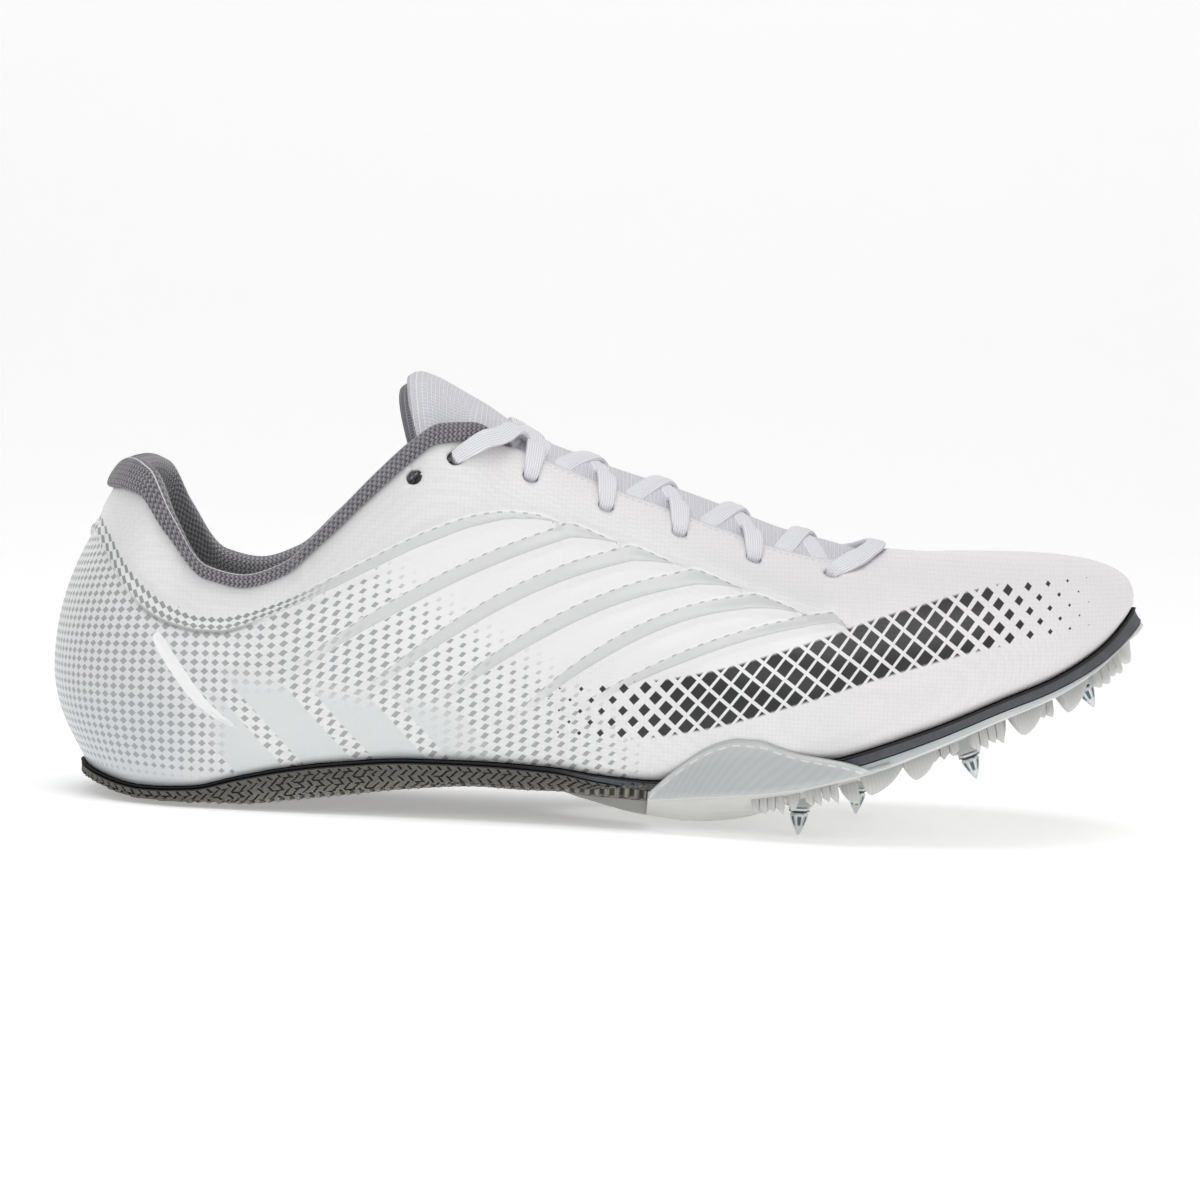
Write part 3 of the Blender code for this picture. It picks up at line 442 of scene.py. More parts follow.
def setCamera():
    rise, roll = math.radians(view["rise"]), math.radians(view["roll"])
    forward = Vector((0, math.cos(rise), -math.sin(rise)))
    level, upward = Vector((1, 0, 0)), Vector((0, math.sin(rise), math.cos(rise)))
    across = level * math.cos(roll) + upward * math.sin(roll)
    above = upward * math.cos(roll) - level * math.sin(roll)
    camera = bpy.data.objects.new("camera", bpy.data.cameras.new("camera"))
    camera.data.lens = view["lens"]
    camera.data.sensor_width = 36
    camera.data.clip_end = 20
    turn = Matrix((across, above, -forward)).transposed().to_4x4()
    where = Vector(view["aim"]) - forward * view["distance"]
    camera.matrix_world = Matrix.Translation(where) @ turn
    bpy.context.scene.collection.objects.link(camera)
    bpy.context.scene.camera = camera


# Studio: a pale floor that runs up behind the shoe, soft lights and a pale surround
studio = {"floor": (0.94, 0.94, 0.94), "surround": 0.46, "glow": 0.30, "back": 1.6, "bend": 0.5,
          "tall": 1.6, "front": -2.5, "sides": (-3.0, 3.2)}
lights = (  # name, place, aim, width, height, watts
    ("topBox", (0.05, -0.25, 1.15), (0.10, 0.0, 0.05), 0.9, 0.7, 4.5),
    ("frontBox", (-0.25, -1.20, 0.75), (0.10, 0.0, 0.05), 0.8, 0.5, 2.2),
    ("toeBox", (1.15, -0.45, 0.55), (0.15, 0.0, 0.05), 0.5, 0.5, 1.2),
)


def setFloor():
    made = Look("studioFloor").finish(studio["floor"], 0.9, emissionColor=(1, 1, 1, 1),
                                      emissionStrength=studio["glow"])
    back, bend = studio["back"], studio["bend"]
    sweep = [(studio["front"], 0.0), (back - bend, 0.0)]
    sweep += [(back - bend * (1 - math.sin(math.radians(a))), bend * (1 - math.cos(math.radians(a))))
              for a in range(10, 91, 10)]
    sweep += [(back, studio["tall"])]
    points = [(x, y, z) for x in studio["sides"] for y, z in sweep]
    meshObject("studioSweep", points, gridFaces(2, len(sweep), flip=True), made)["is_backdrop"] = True


def setLights():
    world = bpy.data.worlds.new("studio")
    bpy.context.scene.world = world
    world.use_nodes = True
    world.node_tree.nodes["Background"].inputs["Color"].default_value = (1.0, 1.0, 1.0, 1)
    world.node_tree.nodes["Background"].inputs["Strength"].default_value = studio["surround"]
    bpy.context.scene.view_settings.view_transform = "Standard"
    for name, where, aim, wide, tall, power in lights:
        lamp = bpy.data.lights.new(name, "AREA")
        lamp.shape = "RECTANGLE"
        lamp.size, lamp.size_y, lamp.energy = wide, tall, power
        holder = bpy.data.objects.new(name, lamp)
        holder.location = where
        holder.rotation_euler = (Vector(aim) - Vector(where)).to_track_quat("-Z", "Y").to_euler()
        bpy.context.scene.collection.objects.link(holder)


setCamera()
setFloor()
setLights()
print("camera and studio set")

# Upper: relief lines in the side view, in metres
seamRows = (  # along, height of the upper lip, width of the channel below it
    (-0.0245, 0.0716, 0.0045), (-0.0211, 0.0679, 0.0050), (-0.0156, 0.0606, 0.0056),
    (-0.0086, 0.0541, 0.0052), (-0.0008, 0.0499, 0.0041), (0.0043, 0.0486, 0.0037),
    (0.0092, 0.0486, 0.0037), (0.0142, 0.0495, 0.0034), (0.0196, 0.0513, 0.0030),
    (0.0260, 0.0540, 0.0029), (0.0364, 0.0595, 0.0030), (0.0462, 0.0651, 0.0031),
    (0.0608, 0.0729, 0.0032), (0.0731, 0.0774, 0.0027), (0.0805, 0.0784, 0.0020),
    (0.0870, 0.0780, 0.0014), (0.0938, 0.0761, 0.0003))
ribRows = (  # apex along, apex height, slope and bend to its left, reach, width, tail
    (0.0956, 0.0763, 0.34, 3.5, 0.062, 0.0039, 0.0125),
    (0.1113, 0.0715, 0.23, 5.7, 0.061, 0.0042, 0.0122),
    (0.1273, 0.0664, 0.17, 6.2, 0.058, 0.0042, 0.0127),
    (0.1431, 0.0610, 0.05, 8.6, 0.054, 0.0038, 0.0130),
    (0.1625, 0.0575, 0.12, 4.8, 0.056, 0.0030, 0.0040))
pipeRows = ((-0.0062, 0.0428), (-0.0033, 0.0384), (-0.0003, 0.0344), (0.0029, 0.0300),
            (0.0063, 0.0264), (0.0101, 0.0235), (0.0150, 0.0209))
bandRows = ((0.080, 0.0300), (0.0954, 0.0296), (0.1153, 0.0310), (0.1300, 0.0340),
            (0.1542, 0.0420), (0.1788, 0.0510), (0.2036, 0.0585), (0.2300, 0.0625))
seamCurve, bandCentre = tableCurve(seamRows), tableCurve(bandRows)
upper = {"rows": 68, "lip": 0.00040, "crease": 0.00065, "panel": 0.00050, "tailDrop": 0.0046,
         "pipe": 0.00060, "pipeWidth": 0.0016, "facet": 0.00030, "facetPitch": 0.0145,
         "dotPitch": (0.0032, 0.0023), "bandPitch": 0.0056, "edgeWall": 0.55,
         "stations": (0.00085, 0.0012, 0.0016), "ribs": (0.028, 0.168), "eyelet": 0.0022,
         "step": 0.00045}
zones = {  # from where a mark is gone to where it is whole, along or up in metres
    "dotSlant": (0.012, 0.045), "dotToe": (0.178, 0.115), "dotSeam": (0.0, 0.0008),
    "dotFoot": (0.006, 0.014), "dotFront": (0.125, 0.100), "dotTight": (0.055, 0.0),
    "bandHeel": (0.082, 0.135), "bandToe": (0.236, 0.185), "panelTop": (0.0006, -0.0006),
    "panelToe": (0.172, 0.150), "panelHeel": (0.020, 0.060), "panelFoot": (0.026, 0.050),
    "vampTop": (0.0, 0.010), "vampHeel": (0.060, 0.085), "vampToe": (0.165, 0.185),
    "lowTop": (0.036, 0.028), "lowHeel": (0.006, 0.014), "lowToe": (0.085, 0.060),
    "edge": (0.0, 0.004), "stepTop": (0.0, 0.0015), "stepToe": (0.030, 0.010),
    "seamToe": (0.0945, 0.0925)}
eyeletRows = (  # along as a share of the length, distance down from the rim
    (0.200, 0.0085), (0.236, 0.0080), (0.304, 0.0075), (0.373, 0.0075),
    (0.440, 0.0075), (0.508, 0.0075), (0.579, 0.0070))


def stationMarks():
    # distances along the shoe's edge, closer together over the ribs
    found, mark = [0.0], 0.0
    heelEnd, toeStart = markOf(heelAxis * length), markOf(toeAxis * length)
    ribs = [markOf(x) for x in upper["ribs"]]
    fine, middle, coarse = upper["stations"]
    while True:
        plain = middle if heelEnd < mark < toeStart else coarse
        mark += fine if ribs[0] < mark < ribs[1] else plain
        if mark > marks[-1] - 0.0006:
            return found + [marks[-1]]
        found.append(mark)


def rowShares(count):
    # shares of the way up the profile, closer together over the ribs
    t = np.linspace(0, 1, count * 8)
    density = 0.55 + smooth(0.10, 0.25, t) - 0.35 * smooth(0.86, 0.98, t)
    run = np.concatenate(([0], np.cumsum((density[1:] + density[:-1]) / 2)))
    return np.interp(np.linspace(0, run[-1], count), run, t)


def channelShape(above, below, width):
    # height of the skin by the distances above a channel's lip and below its crease
    inside = np.clip(-above / np.maximum(width, 1e-5), 0, 1)
    lip = upper["lip"] * np.exp(-(np.maximum(above, 0) / 0.0012) ** 2)
    slope = upper["lip"] - (upper["lip"] + upper["crease"]) * smooth(0, 1, inside)
    rising = smooth(0.0, 0.0014, below)
    panel = upper["panel"] * rising * np.exp(-np.maximum(below, 0) / 0.006)
    panel -= upper["crease"] * (1 - rising)
    return np.where(above > 0, lip, np.where(below > 0, panel, slope))


def ribLines(x):
    # for the seam and each rib: lip height, channel width and how much of it is there
    seam = seamCurve.at(x)
    yield seam[..., 0], seam[..., 1], smooth(*zones["seamToe"], x)
    for apex, tall, slope, bend, reach, width, tail in ribRows:
        left = np.maximum(apex - x, 0)
        right = np.clip((x - apex) / tail, 0, 1)
        lip = tall - slope * left - bend * left ** 2 - upper["tailDrop"] * right ** 1.15
        there = smooth(reach + 0.010, reach * 0.72, left) * (x < apex + tail)
        yield lip, width * (1 - right) * (1 - 0.25 * smooth(0.6, 1, left / reach)), there


def skinRelief(x, z):
    # the relief's height, and the channel's signed distance, side and run for the shader
    relief = np.zeros_like(x)
    nearest = np.full_like(x, 0.02)
    side, fade = np.ones_like(x), np.zeros_like(x)
    for lip, width, there in ribLines(x):
        above, below = z - lip, lip - width - z
        relief += channelShape(above, below, width) * there
        signed = np.maximum(above, below) + (there < 0.02) * 0.02
        side = np.where(signed < nearest, above + width / 2, side)
        fade = np.where(signed < nearest, there, fade)
        nearest = np.minimum(signed, nearest)
    return relief, nearest, side, fade


def pipeDistance(x, z):
    # distance to the piping's line, and how far along it
    best, run = np.full_like(x, 1.0), np.zeros_like(x)
    total = 0.0
    for (x0, z0), (x1, z1) in zip(pipeRows, pipeRows[1:]):
        span = math.hypot(x1 - x0, z1 - z0)
        t = np.clip(((x - x0) * (x1 - x0) + (z - z0) * (z1 - z0)) / span ** 2, 0, 1)
        away = np.hypot(x - x0 - t * (x1 - x0), z - z0 - t * (z1 - z0))
        run = np.where(away < best, total + t * span, run)
        best = np.minimum(best, away)
        total += span
    return best, run / total


def eyeletFrame(index, side):
    along, inset = eyeletRows[index]
    cut, near = sectionAt(along * length), sectionAt(along * length + 0.004)
    path = edgeFrame(cut, side)
    here = place(cut, side, *alongProfile(path, inset, 0))
    inner = place(cut, side, *alongProfile(path, inset, -0.002))
    ahead = place(near, side, *alongProfile(edgeFrame(near, side), inset, 0))
    down = place(cut, side, *alongProfile(path, inset + 0.003, 0))
    normal = (ahead - here).cross(down - here).normalized()
    return here, normal if normal.dot(here - inner) > 0 else -normal


def upperHalf(side, cuts, shares):
    # points, relief heights and shader fields of one side of the skin
    base = np.zeros((len(cuts), len(shares), 3))
    upRun = np.zeros((len(cuts), len(shares)))
    rim = np.zeros((len(cuts), len(shares)))
    for i, cut in enumerate(cuts):
        line = profile(cut, side)
        run = runAlong(line)
        r, z = [np.interp(shares * run[-1], run, line[:, c]) for c in (0, 1)]
        base[i, :, 0] = cut["along"] + cut["cos"] * r
        base[i, :, 1] = spine(cut["along"]) + side * cut["sin"] * r
        base[i, :, 2] = z
        upRun[i] = shares * run[-1]
        rim[i] = (1 - shares) * run[-1]
    normal = np.cross(np.gradient(base, axis=0), np.gradient(base, axis=1))
    normal /= np.maximum(np.linalg.norm(normal, axis=2, keepdims=True), 1e-12)
    normal *= side
    x, z = base[..., 0], base[..., 2]
    relief, signed, lipSide, fade = skinRelief(x, z)
    away, share = pipeDistance(x, z)
    taper = np.sin(np.pi * np.clip(share * 0.70 + 0.30, 0, 1)) ** 0.6
    pipe = 1 - smooth(0.25, 1.0, away / (upper["pipeWidth"] * np.maximum(taper, 0.05)))
    relief += upper["pipe"] * pipe
    zoneLow = smooth(*zones["lowTop"], z + 0.10 * (x - 0.03)) * smooth(*zones["lowHeel"], x)
    zoneLow *= smooth(*zones["lowToe"], x)
    phase = (x - 0.0157 + z - 0.0205) / upper["facetPitch"]
    saw = phase - np.floor(phase)
    relief += upper["facet"] * zoneLow * (np.minimum(saw * 4, (1 - saw) / 0.75) - 0.4)
    below = smooth(*zones["stepTop"], ribSeam(x) - z) * smooth(*zones["stepToe"], x)
    relief += upper["step"] * below
    relief *= smooth(*zones["edge"], rim) * smooth(*zones["edge"], upRun)
    points = base + normal * relief[..., None]
    mark = np.array([cut["mark"] for cut in cuts])[:, None] + np.zeros_like(x)
    return points, (x, z, mark, signed, lipSide, away - upper["pipeWidth"] * taper, zoneLow, rim,
                    fade)


def ribSeam(x):
    return seamCurve.at(x)[..., 0]


def seamTrim(x, z):
    # along the seam behind the collar, across its channel, and where its diamonds are
    keys = seamCurve.x
    run = runAlong(np.stack((keys, seamCurve.y[:, 0]), -1))
    lip, width = np.moveaxis(seamCurve.at(x), -1, 0)
    along = np.interp(x, keys, run) * 1000 + (x - keys[0]) * (x < keys[0]) * 2600
    across = (lip - z) / np.maximum(width, 0.001)
    there = smooth(0.040, 0.024, x) * smooth(0.0022, 0.0005, np.abs(across - 0.5) * width - width / 2)
    return along, across, there


def skinFields(x, z, mark, signed, lipSide, pipe, low, rim, fade):
    # the shader's own coordinates and masks over one side of the skin
    lift = 0.42 * np.maximum(x - 0.020, 0) * smooth(*zones["dotSlant"], x)
    size = smooth(*zones["dotToe"], x + 1.75 * z) * smooth(*zones["dotSeam"], ribSeam(x) - z)
    size *= smooth(*zones["dotFoot"], z)
    size = np.where(x > zones["dotFront"][1], size * smooth(*zones["dotFront"], x), size)
    even = mark - 0.034 * np.maximum(0, 1 - mark / 0.070) ** 2
    tight = 1 + 0.16 * smooth(*zones["dotTight"], mark)
    band = (z - bandCentre.at(x)[..., 0]) / upper["bandPitch"]
    there = smooth(*zones["bandHeel"], x) * smooth(*zones["bandToe"], x)
    # painted highlight: the raised panels below the seam and below the ribs' apexes, painted whiter
    end, tall = seamRows[-1][:2]
    top = np.where(x < end, ribSeam(np.minimum(x, end)), tall - (x - end) * 0.335)
    white = smooth(*zones["panelTop"], z - top) * smooth(*zones["panelToe"], x)
    white *= smooth(*zones["panelHeel"], x) * smooth(*zones["panelFoot"], z)
    vamp = smooth(*zones["vampTop"], z - 0.078 + 0.32 * np.maximum(x - 0.090, 0))
    vamp = np.maximum(vamp * smooth(*zones["vampHeel"], x), smooth(*zones["vampToe"], x + 0.25 * z))
    return {"rib": (signed * 1000, lipSide * 1000, x * 1150),
            "dots": (even / upper["dotPitch"][0], (z - 0.02 - lift) * tight / upper["dotPitch"][1],
                     size),
            "band": (x * 1.06 / upper["bandPitch"], band, there),
            "zone": (pipe * 1000, low, rim * 1000), "soft": (fade, vamp, (x * 0.72 + z * 0.69) * 1000),
            "trim": seamTrim(x, z), "panel": (white, z * 1000, x * 1000)}


def buildUpper(look):
    cuts = [section(mark) for mark in stationMarks()]
    shares = rowShares(upper["rows"])
    points, faces, halves = [], [], []
    for side in (-1, 1):
        grid, found = upperHalf(side, cuts, shares)
        faces += gridFaces(len(cuts), len(shares), len(points), flip=side < 0)
        points += [tuple(p) for p in grid.reshape(-1, 3)]
        halves.append(skinFields(*found))
    mesh = bpy.data.meshes.new("upperShell")
    mesh.from_pydata(points, [], faces)
    for key in halves[0]:
        storeVectors(mesh, key, [np.stack(half[key], -1).reshape(-1, 3) for half in halves])
    work = bmesh.new()
    work.from_mesh(mesh)
    bmesh.ops.remove_doubles(work, verts=work.verts, dist=2e-5)
    bmesh.ops.dissolve_degenerate(work, edges=work.edges, dist=1e-6)
    for number in range(len(eyeletRows)):
        for side in (-1, 1):
            punch(work, *eyeletFrame(number, side))
    work.to_mesh(mesh)
    work.free()
    mesh.shade_smooth()
    mesh.materials.append(look)
    made = bpy.data.objects.new("upperShell", mesh)
    bpy.context.scene.collection.objects.link(made)
    edge = made.vertex_groups.new(name="wall")
    zone = np.zeros(len(mesh.vertices) * 3, np.float32)
    mesh.attributes["zone"].data.foreach_get("vector", zone)
    for index, rim in enumerate(zone.reshape(-1, 3)[:, 2]):
        edge.add([index], min(1.0, upper["edgeWall"] + rim / 8), "REPLACE")
    addWall(made, shoe["wall"]).vertex_group = edge.name
    return made


def punch(work, centre, normal):
    # a round hole: the faces inside it go, and its border moves onto the circle
    near = [face for face in work.faces if (face.calc_center_median() - centre).length < 0.006]
    inside = [f for f in near if (f.calc_center_median() - centre).length < upper["eyelet"] * 0.97]
    border = set()
    gone = set(inside)
    for face in inside:
        for edge in face.edges:
            if any(other not in gone for other in edge.link_faces):
                border.update(edge.verts)
    bmesh.ops.delete(work, geom=inside, context="FACES")
    for vert in border:
        out = vert.co - centre
        flat = out - normal * out.dot(normal)
        vert.co = centre + normal * out.dot(normal) + flat.normalized() * upper["eyelet"]


# the channel, crease and shadow tones are painted shade; the panel tone and the brightest tone are
# painted highlights
film = {"shade": (0.80, 0.80, 0.805), "white": (0.86, 0.86, 0.865), "vamp": (0.87, 0.845, 0.852),
        "mesh": (0.62, 0.61, 0.62), "panel": (0.93, 0.93, 0.93), "flat": (0.70, 0.735, 0.73),
        "heelLow": (0.57, 0.61, 0.645), "heelHigh": (0.72, 0.73, 0.74),
        "channel": (0.64, 0.645, 0.645), "paintedHighlight": (0.95, 0.95, 0.95), "dots": (0.32, 0.33, 0.34),
        "seamDots": (0.25, 0.26, 0.265), "shadow": (0.16, 0.17, 0.17), "dash": (0.36, 0.37, 0.37),
        "crease": (0.30, 0.31, 0.31), "stitch": (0.45, 0.44, 0.45), "band": (0.012, 0.012, 0.013),
        "meshScale": 950.0, "stripePitch": 14.2, "seamPitch": 2.2, "dashPitch": 3.7,
        "stitchPitch": 1.9}


def diamonds(a, b):
    # how far a place is from the middle of its cell, so that a limit gives diamonds
    return abs(a.part() - 0.5) + abs(b.part() - 0.5)


def filmLook():
    look = Look("whiteFilm")
    signed, lipSide, along = look.attribute("rib")
    dotA, dotB, dotSize = look.attribute("dots")
    bandA, bandB, bandThere = look.attribute("band")
    pipe, low, rim = look.attribute("zone")
    fade, vamp, slant = look.attribute("soft")
    seamRun, seamAcross, seamThere = look.attribute("trim")
    panel, tall, far = look.attribute("panel")
    grain, cloud = look.noise(900, 3), look.noise(22)
    # a fine mesh under the film
    weave = look.node("ShaderNodeTexVoronoi", {"feature": "F1"},
                      {"Vector": look.position(), "Scale": film["meshScale"], "Randomness": 0.25})
    # lower heel: pale panels between slanted dotted stripes
    stripe = abs((slant / film["stripePitch"] + 0.44).part() - 0.5).step(0.17, 0.13)
    flat = low * (1 - stripe)
    heel = far.step(20, -14)
    # the panel coat is a painted highlight on the raised panels below the seam and the ribs
    white = look.paint(film["shade"], (cloud.step(0.35, 0.65), film["white"]),
                       (vamp, film["vamp"]), (weave.step(0.25, 0.75) * 0.22, film["mesh"]),
                       (panel * 0.8, film["panel"]), (flat * 0.85, film["flat"]),
                       (heel * tall.step(46, 16) * 0.9, film["heelLow"]),
                       (heel * tall.step(60, 40) * 0.5, film["heelHigh"]))
    # halftone diamonds, smaller and paler towards the toe
    reach = dotSize * 0.15 + 0.20 + grain * 0.05 + heel * 0.05
    dots = (diamonds(dotA, dotB) - reach).step(0.03, -0.03) * dotSize.step(0.0, 0.45)
    dots = dots * signed.step(0.1, 0.5).most(1 - fade) * (1 - flat)
    # two rows of diamonds along the seam behind the collar, with a painted shadow in the crease below
    # them
    pair = abs((seamAcross * 2).part() - 0.5) * 1.15
    pair = pair + abs((seamRun / film["seamPitch"]).part() - 0.5)
    seamDots = (pair - 0.48).step(0.04, -0.04) * abs(seamAcross - 0.5).step(0.52, 0.48) * seamThere
    shadow = abs(seamAcross - 1.12).step(0.20, 0.02) * seamThere
    shadow = shadow * far.step(-15, -9) * far.step(24, 12)
    # painted shade on the slope below each lip, dashes and a painted highlight along it, and a painted
    # shade line in the crease
    channel = signed.step(0.22, -0.45) * fade.step(0.0, 0.8) * (1 - seamThere)
    part = (along / film["dashPitch"]).part()
    lipLine = lipSide.step(0.0, 0.3) * (1 - seamThere)
    dash = abs(signed + 0.12).step(0.26, 0.12) * lipLine * part.step(0.46, 0.38) * part.step(0.0, 0.08)
    shine = abs(signed - 0.25).step(0.28, 0.12) * lipLine
    crease = abs(signed + 0.05).step(0.26, 0.06) * lipSide.step(0.0, -0.3)
    # stitches along the throat's edge
    stitch = abs(rim - 1.5).step(0.22, 0.10) * along.step(96, 100)
    stitch = stitch * (along / film["stitchPitch"]).part().step(0.62, 0.54)
    # bold diamonds on the forefoot in staggered rows
    both = diamonds(bandA, bandB).least(diamonds(bandA + 0.5, bandB + 0.5))
    band = (both - bandThere * 0.40).step(0.02, -0.02) * bandThere.step(0.03, 0.10)
    band = band * abs(bandB).step(1.36, 1.20)
    # painted highlight along the piping's raised ridge and along the lips, in the brightest tone
    colour = look.paint(white, (channel * 0.75, film["channel"]),
                        (shine * fade * 0.6, film["paintedHighlight"]), (dots * 0.85, film["dots"]),
                        (seamDots * 0.9, film["seamDots"]), (shadow * 0.7, film["shadow"]),
                        (dash * fade.step(0.0, 0.4) * 0.75, film["dash"]),
                        (crease * fade.step(0.1, 0.9) * 0.38, film["crease"]),
                        (stitch * 0.5, film["stitch"]), (pipe.step(0.15, -0.15), film["paintedHighlight"]),
                        (band, film["band"]))
    rough = weave.step(0.1, 0.7, (0.32, 0.44)) + grain * 0.06 + vamp * 0.15
    normal = look.bump(weave * 0.6 + grain * 0.4, 0.00010, 0.7)
    normal = look.bump(dots + band * 0.6, 0.00006, 0.6, normal)
    return look.finish(colour, rough, normal, coatWeight=0.3, coatRoughness=0.22)


upperShell = keep(buildUpper(filmLook()), "white_film", "upper")
print("upper made:", len(upperShell.data.polygons), "faces before its wall")

# Collar: the knit binding rolled over the rim, running down inside to the insole
collar = {"lining": 0.0015, "end": 0.0800, "taper": 0.0720, "steps": 150, "padded": 0.8,
          "seam": 13.5, "rise": (0.0030, 0.0012), "skin": (0.0011, 0.0007), "backPad": 0.0010,
          "deep": 0.0075, "bottom": 0.0045}
# how far the binding reaches down the outside, by where the rim lies along the shoe
bandCurve = tableCurve(((-0.045, 0.0052), (-0.020, 0.0054), (-0.010, 0.0040), (-0.002, 0.0022),
                        (0.008, 0.0010), (0.027, 0.0014), (0.040, 0.0030), (0.052, 0.0040),
                        (0.065, 0.0038), (0.090, 0.0034)))


def collarOutline(cut, side):
    path = edgeFrame(cut, side)
    total, x = path[1][-1], cut["along"]
    back = min(max((cut["turn"] - 100) / 40, 0), 1)
    front = min(max((x - 0.040) / 0.014, 0), 1)
    depth = (total - collar["bottom"]) * (1 - front) + collar["deep"] * front
    rim = x + cut["cos"] * cut["rimL"]
    band = float(bandCurve.at(min(max(rim, -0.044), 0.089))[0])
    there = float(smooth(collar["end"], collar["taper"], x))
    band = 0.0004 + (band - 0.0004) * there
    rise = (collar["rise"][0] + collar["rise"][1] * back) * (0.25 + 0.75 * there)
    skin = (collar["skin"][0] + collar["skin"][1] * back) * (0.35 + 0.65 * there)
    near, far = shoe["gap"] + 0.0002, shoe["gap"] + 0.0001 + skin
    inner = -(shoe["wall"] + shoe["gap"] + 0.0004)
    pad = collar["lining"] + collar["backPad"] * back
    control = [(band + 0.0001, near + 0.0003), (band, far), (band * 0.4, far + 0.0004),
               (-rise * 0.62, far - 0.0004), (-rise * 1.02, inner * 0.45),
               (-rise * 0.62, inner - pad + 0.0002), (0.0015, inner - pad - 0.0002)]
    spread = np.linspace(0, len(control) - 1, 25)
    roll = []
    for t in spread:
        # a quadratic spline keeps the roll round between its control points
        i = min(int(round(t)), len(control) - 1)
        a, b, c = (np.array(control[min(max(k, 0), len(control) - 1)]) for k in (i - 1, i, i + 1))
        u = t - i + 0.5
        roll.append(0.5 * ((1 - u) ** 2 * a + (1 + 2 * u - 2 * u * u) * b + u * u * c))
    inside = [np.array((0.0015 + (depth - 0.0015) * n / 10, inner - pad)) for n in range(1, 11)]
    back = [np.array((depth * n / 4, inner)) for n in (4, 2)]
    back += [np.array((-0.0008, inner)), np.array((-0.0008, near)), np.array((band, near))]
    return [place(cut, side, *alongProfile(path, *point)) for point in roll + inside + back]


def buildCollar(look):
    last = next(m for m in np.linspace(0, marks[-1], 4000) if section(m)["along"] >= collar["end"])
    cuts = [section(m) for m in np.linspace(0, last, collar["steps"])]
    rings = [collarOutline(cut, -1) for cut in reversed(cuts)]
    rings += [collarOutline(cut, 1) for cut in cuts[1:]]
    points, faces = tube(rings)
    run = [-cut["mark"] for cut in reversed(cuts)] + [cut["mark"] for cut in cuts[1:]]
    fields = []
    for ring, mark in zip(rings, run):
        fields += [(mark * 1000, away * 1000, n) for n, away in enumerate(runAlong(ring))]
    return meshObject("collarRoll", points, faces, look, 60, 0, {"knit": fields})


knit = {"column": 1.35, "strand": 1.15, "dark": (0.060, 0.056, 0.064), "pale": (0.44, 0.42, 0.46),
        "innerDark": (0.21, 0.20, 0.215), "innerPale": (0.72, 0.70, 0.74), "seam": (0.78, 0.78, 0.80)}


def knitLook():
    look = Look("greyKnit")
    run, away, number = look.attribute("knit")
    # plaits: slanted strands that change direction from column to column
    column = away / knit["column"]
    lean = (column.part() - 0.5) * 2
    strand = (run / knit["strand"] + abs(lean) * 0.55).part()
    height = abs(strand - 0.5).step(0.5, 0.08) * (1 - abs(lean).step(0.72, 1.0) * 0.7)
    fleck = look.noise(2200)
    patch = look.noise(350)
    outside = look.mix(height * 0.65 + fleck * 0.45 + patch * 0.3 - 0.35, knit["dark"], knit["pale"])
    # the inside's tones are paler than the outside's: painted light on the shaded inner wall of the
    # collar
    inside = look.mix(height * 0.7 + fleck * 0.4 - 0.25, knit["innerDark"], knit["innerPale"])
    colour = look.paint(outside, (number.step(collar["seam"] + 1, collar["seam"] + 4), inside),
                        (abs(number - collar["seam"]).step(0.45, 0.2), knit["seam"]))
    normal = look.bump(height + fleck * 0.3, 0.00028, 0.9)
    return look.finish(colour, 0.92, normal, sheenWeight=0.3, sheenRoughness=0.5)


collarRoll = keep(buildCollar(knitLook()), "grey_knit", "collar_lining")
print("collar made")

# Tongue: a thin padded strip of open mesh over the instep, with its grey lining
tongueRows = (  # along, crown, half width and fall of the free edge, as shares of the sizes
    (0.1905, 1.264, 0.190, 0.225), (0.1965, 1.276, 0.212, 0.245), (0.209, 1.266, 0.222, 0.245),
    (0.224, 1.243, 0.222, 0.225), (0.240, 1.216, 0.215, 0.190), (0.257, 1.187, 0.208, 0.000),
    (0.279, 1.142, 0.225, 0.000), (0.307, 1.090, 0.250, 0.000), (0.336, 1.060, 0.255, 0.000),
    (0.379, 1.014, 0.252, 0.000), (0.429, 0.970, 0.248, 0.000), (0.482, 0.916, 0.242, 0.000),
    (0.536, 0.858, 0.232, 0.000), (0.579, 0.828, 0.215, 0.000), (0.610, 0.804, 0.190, 0.000),
    (0.630, 0.797, 0.165, 0.000), (0.655, 0.794, 0.120, 0.000))
tongue = {"wall": 0.0018, "under": 0.2643, "held": 0.0600, "across": 22, "steps": 120,
          "curl": (0.0533, 0.0720), "corner": 0.0042, "liningEnd": 0.393, "liningStep": 0.0019,
          "pale": (0.93, 0.93, 0.955), "shade": (0.64, 0.64, 0.70),
          "liningPale": (0.34, 0.33, 0.36), "liningShade": (0.10, 0.10, 0.11)}
tongueCurve = tableCurve(tongueRows, (length, shoe["collarHeight"], shoe["ballWidth"],
                                      shoe["collarHeight"]))
innerFaces = {}


def innerFace(x, side, extra):
    key = (round(x, 6), side, round(extra, 6))
    if key not in innerFaces:
        path = edgeFrame(sectionAt(x), side)
        points = np.array([alongProfile(path, d, -extra) for d in np.linspace(0, 0.045, 40)])
        rising = np.diff(np.maximum.accumulate(points[:, 0])) > 1e-7
        innerFaces[key] = points[np.concatenate(([True], rising))]
    return innerFaces[key]


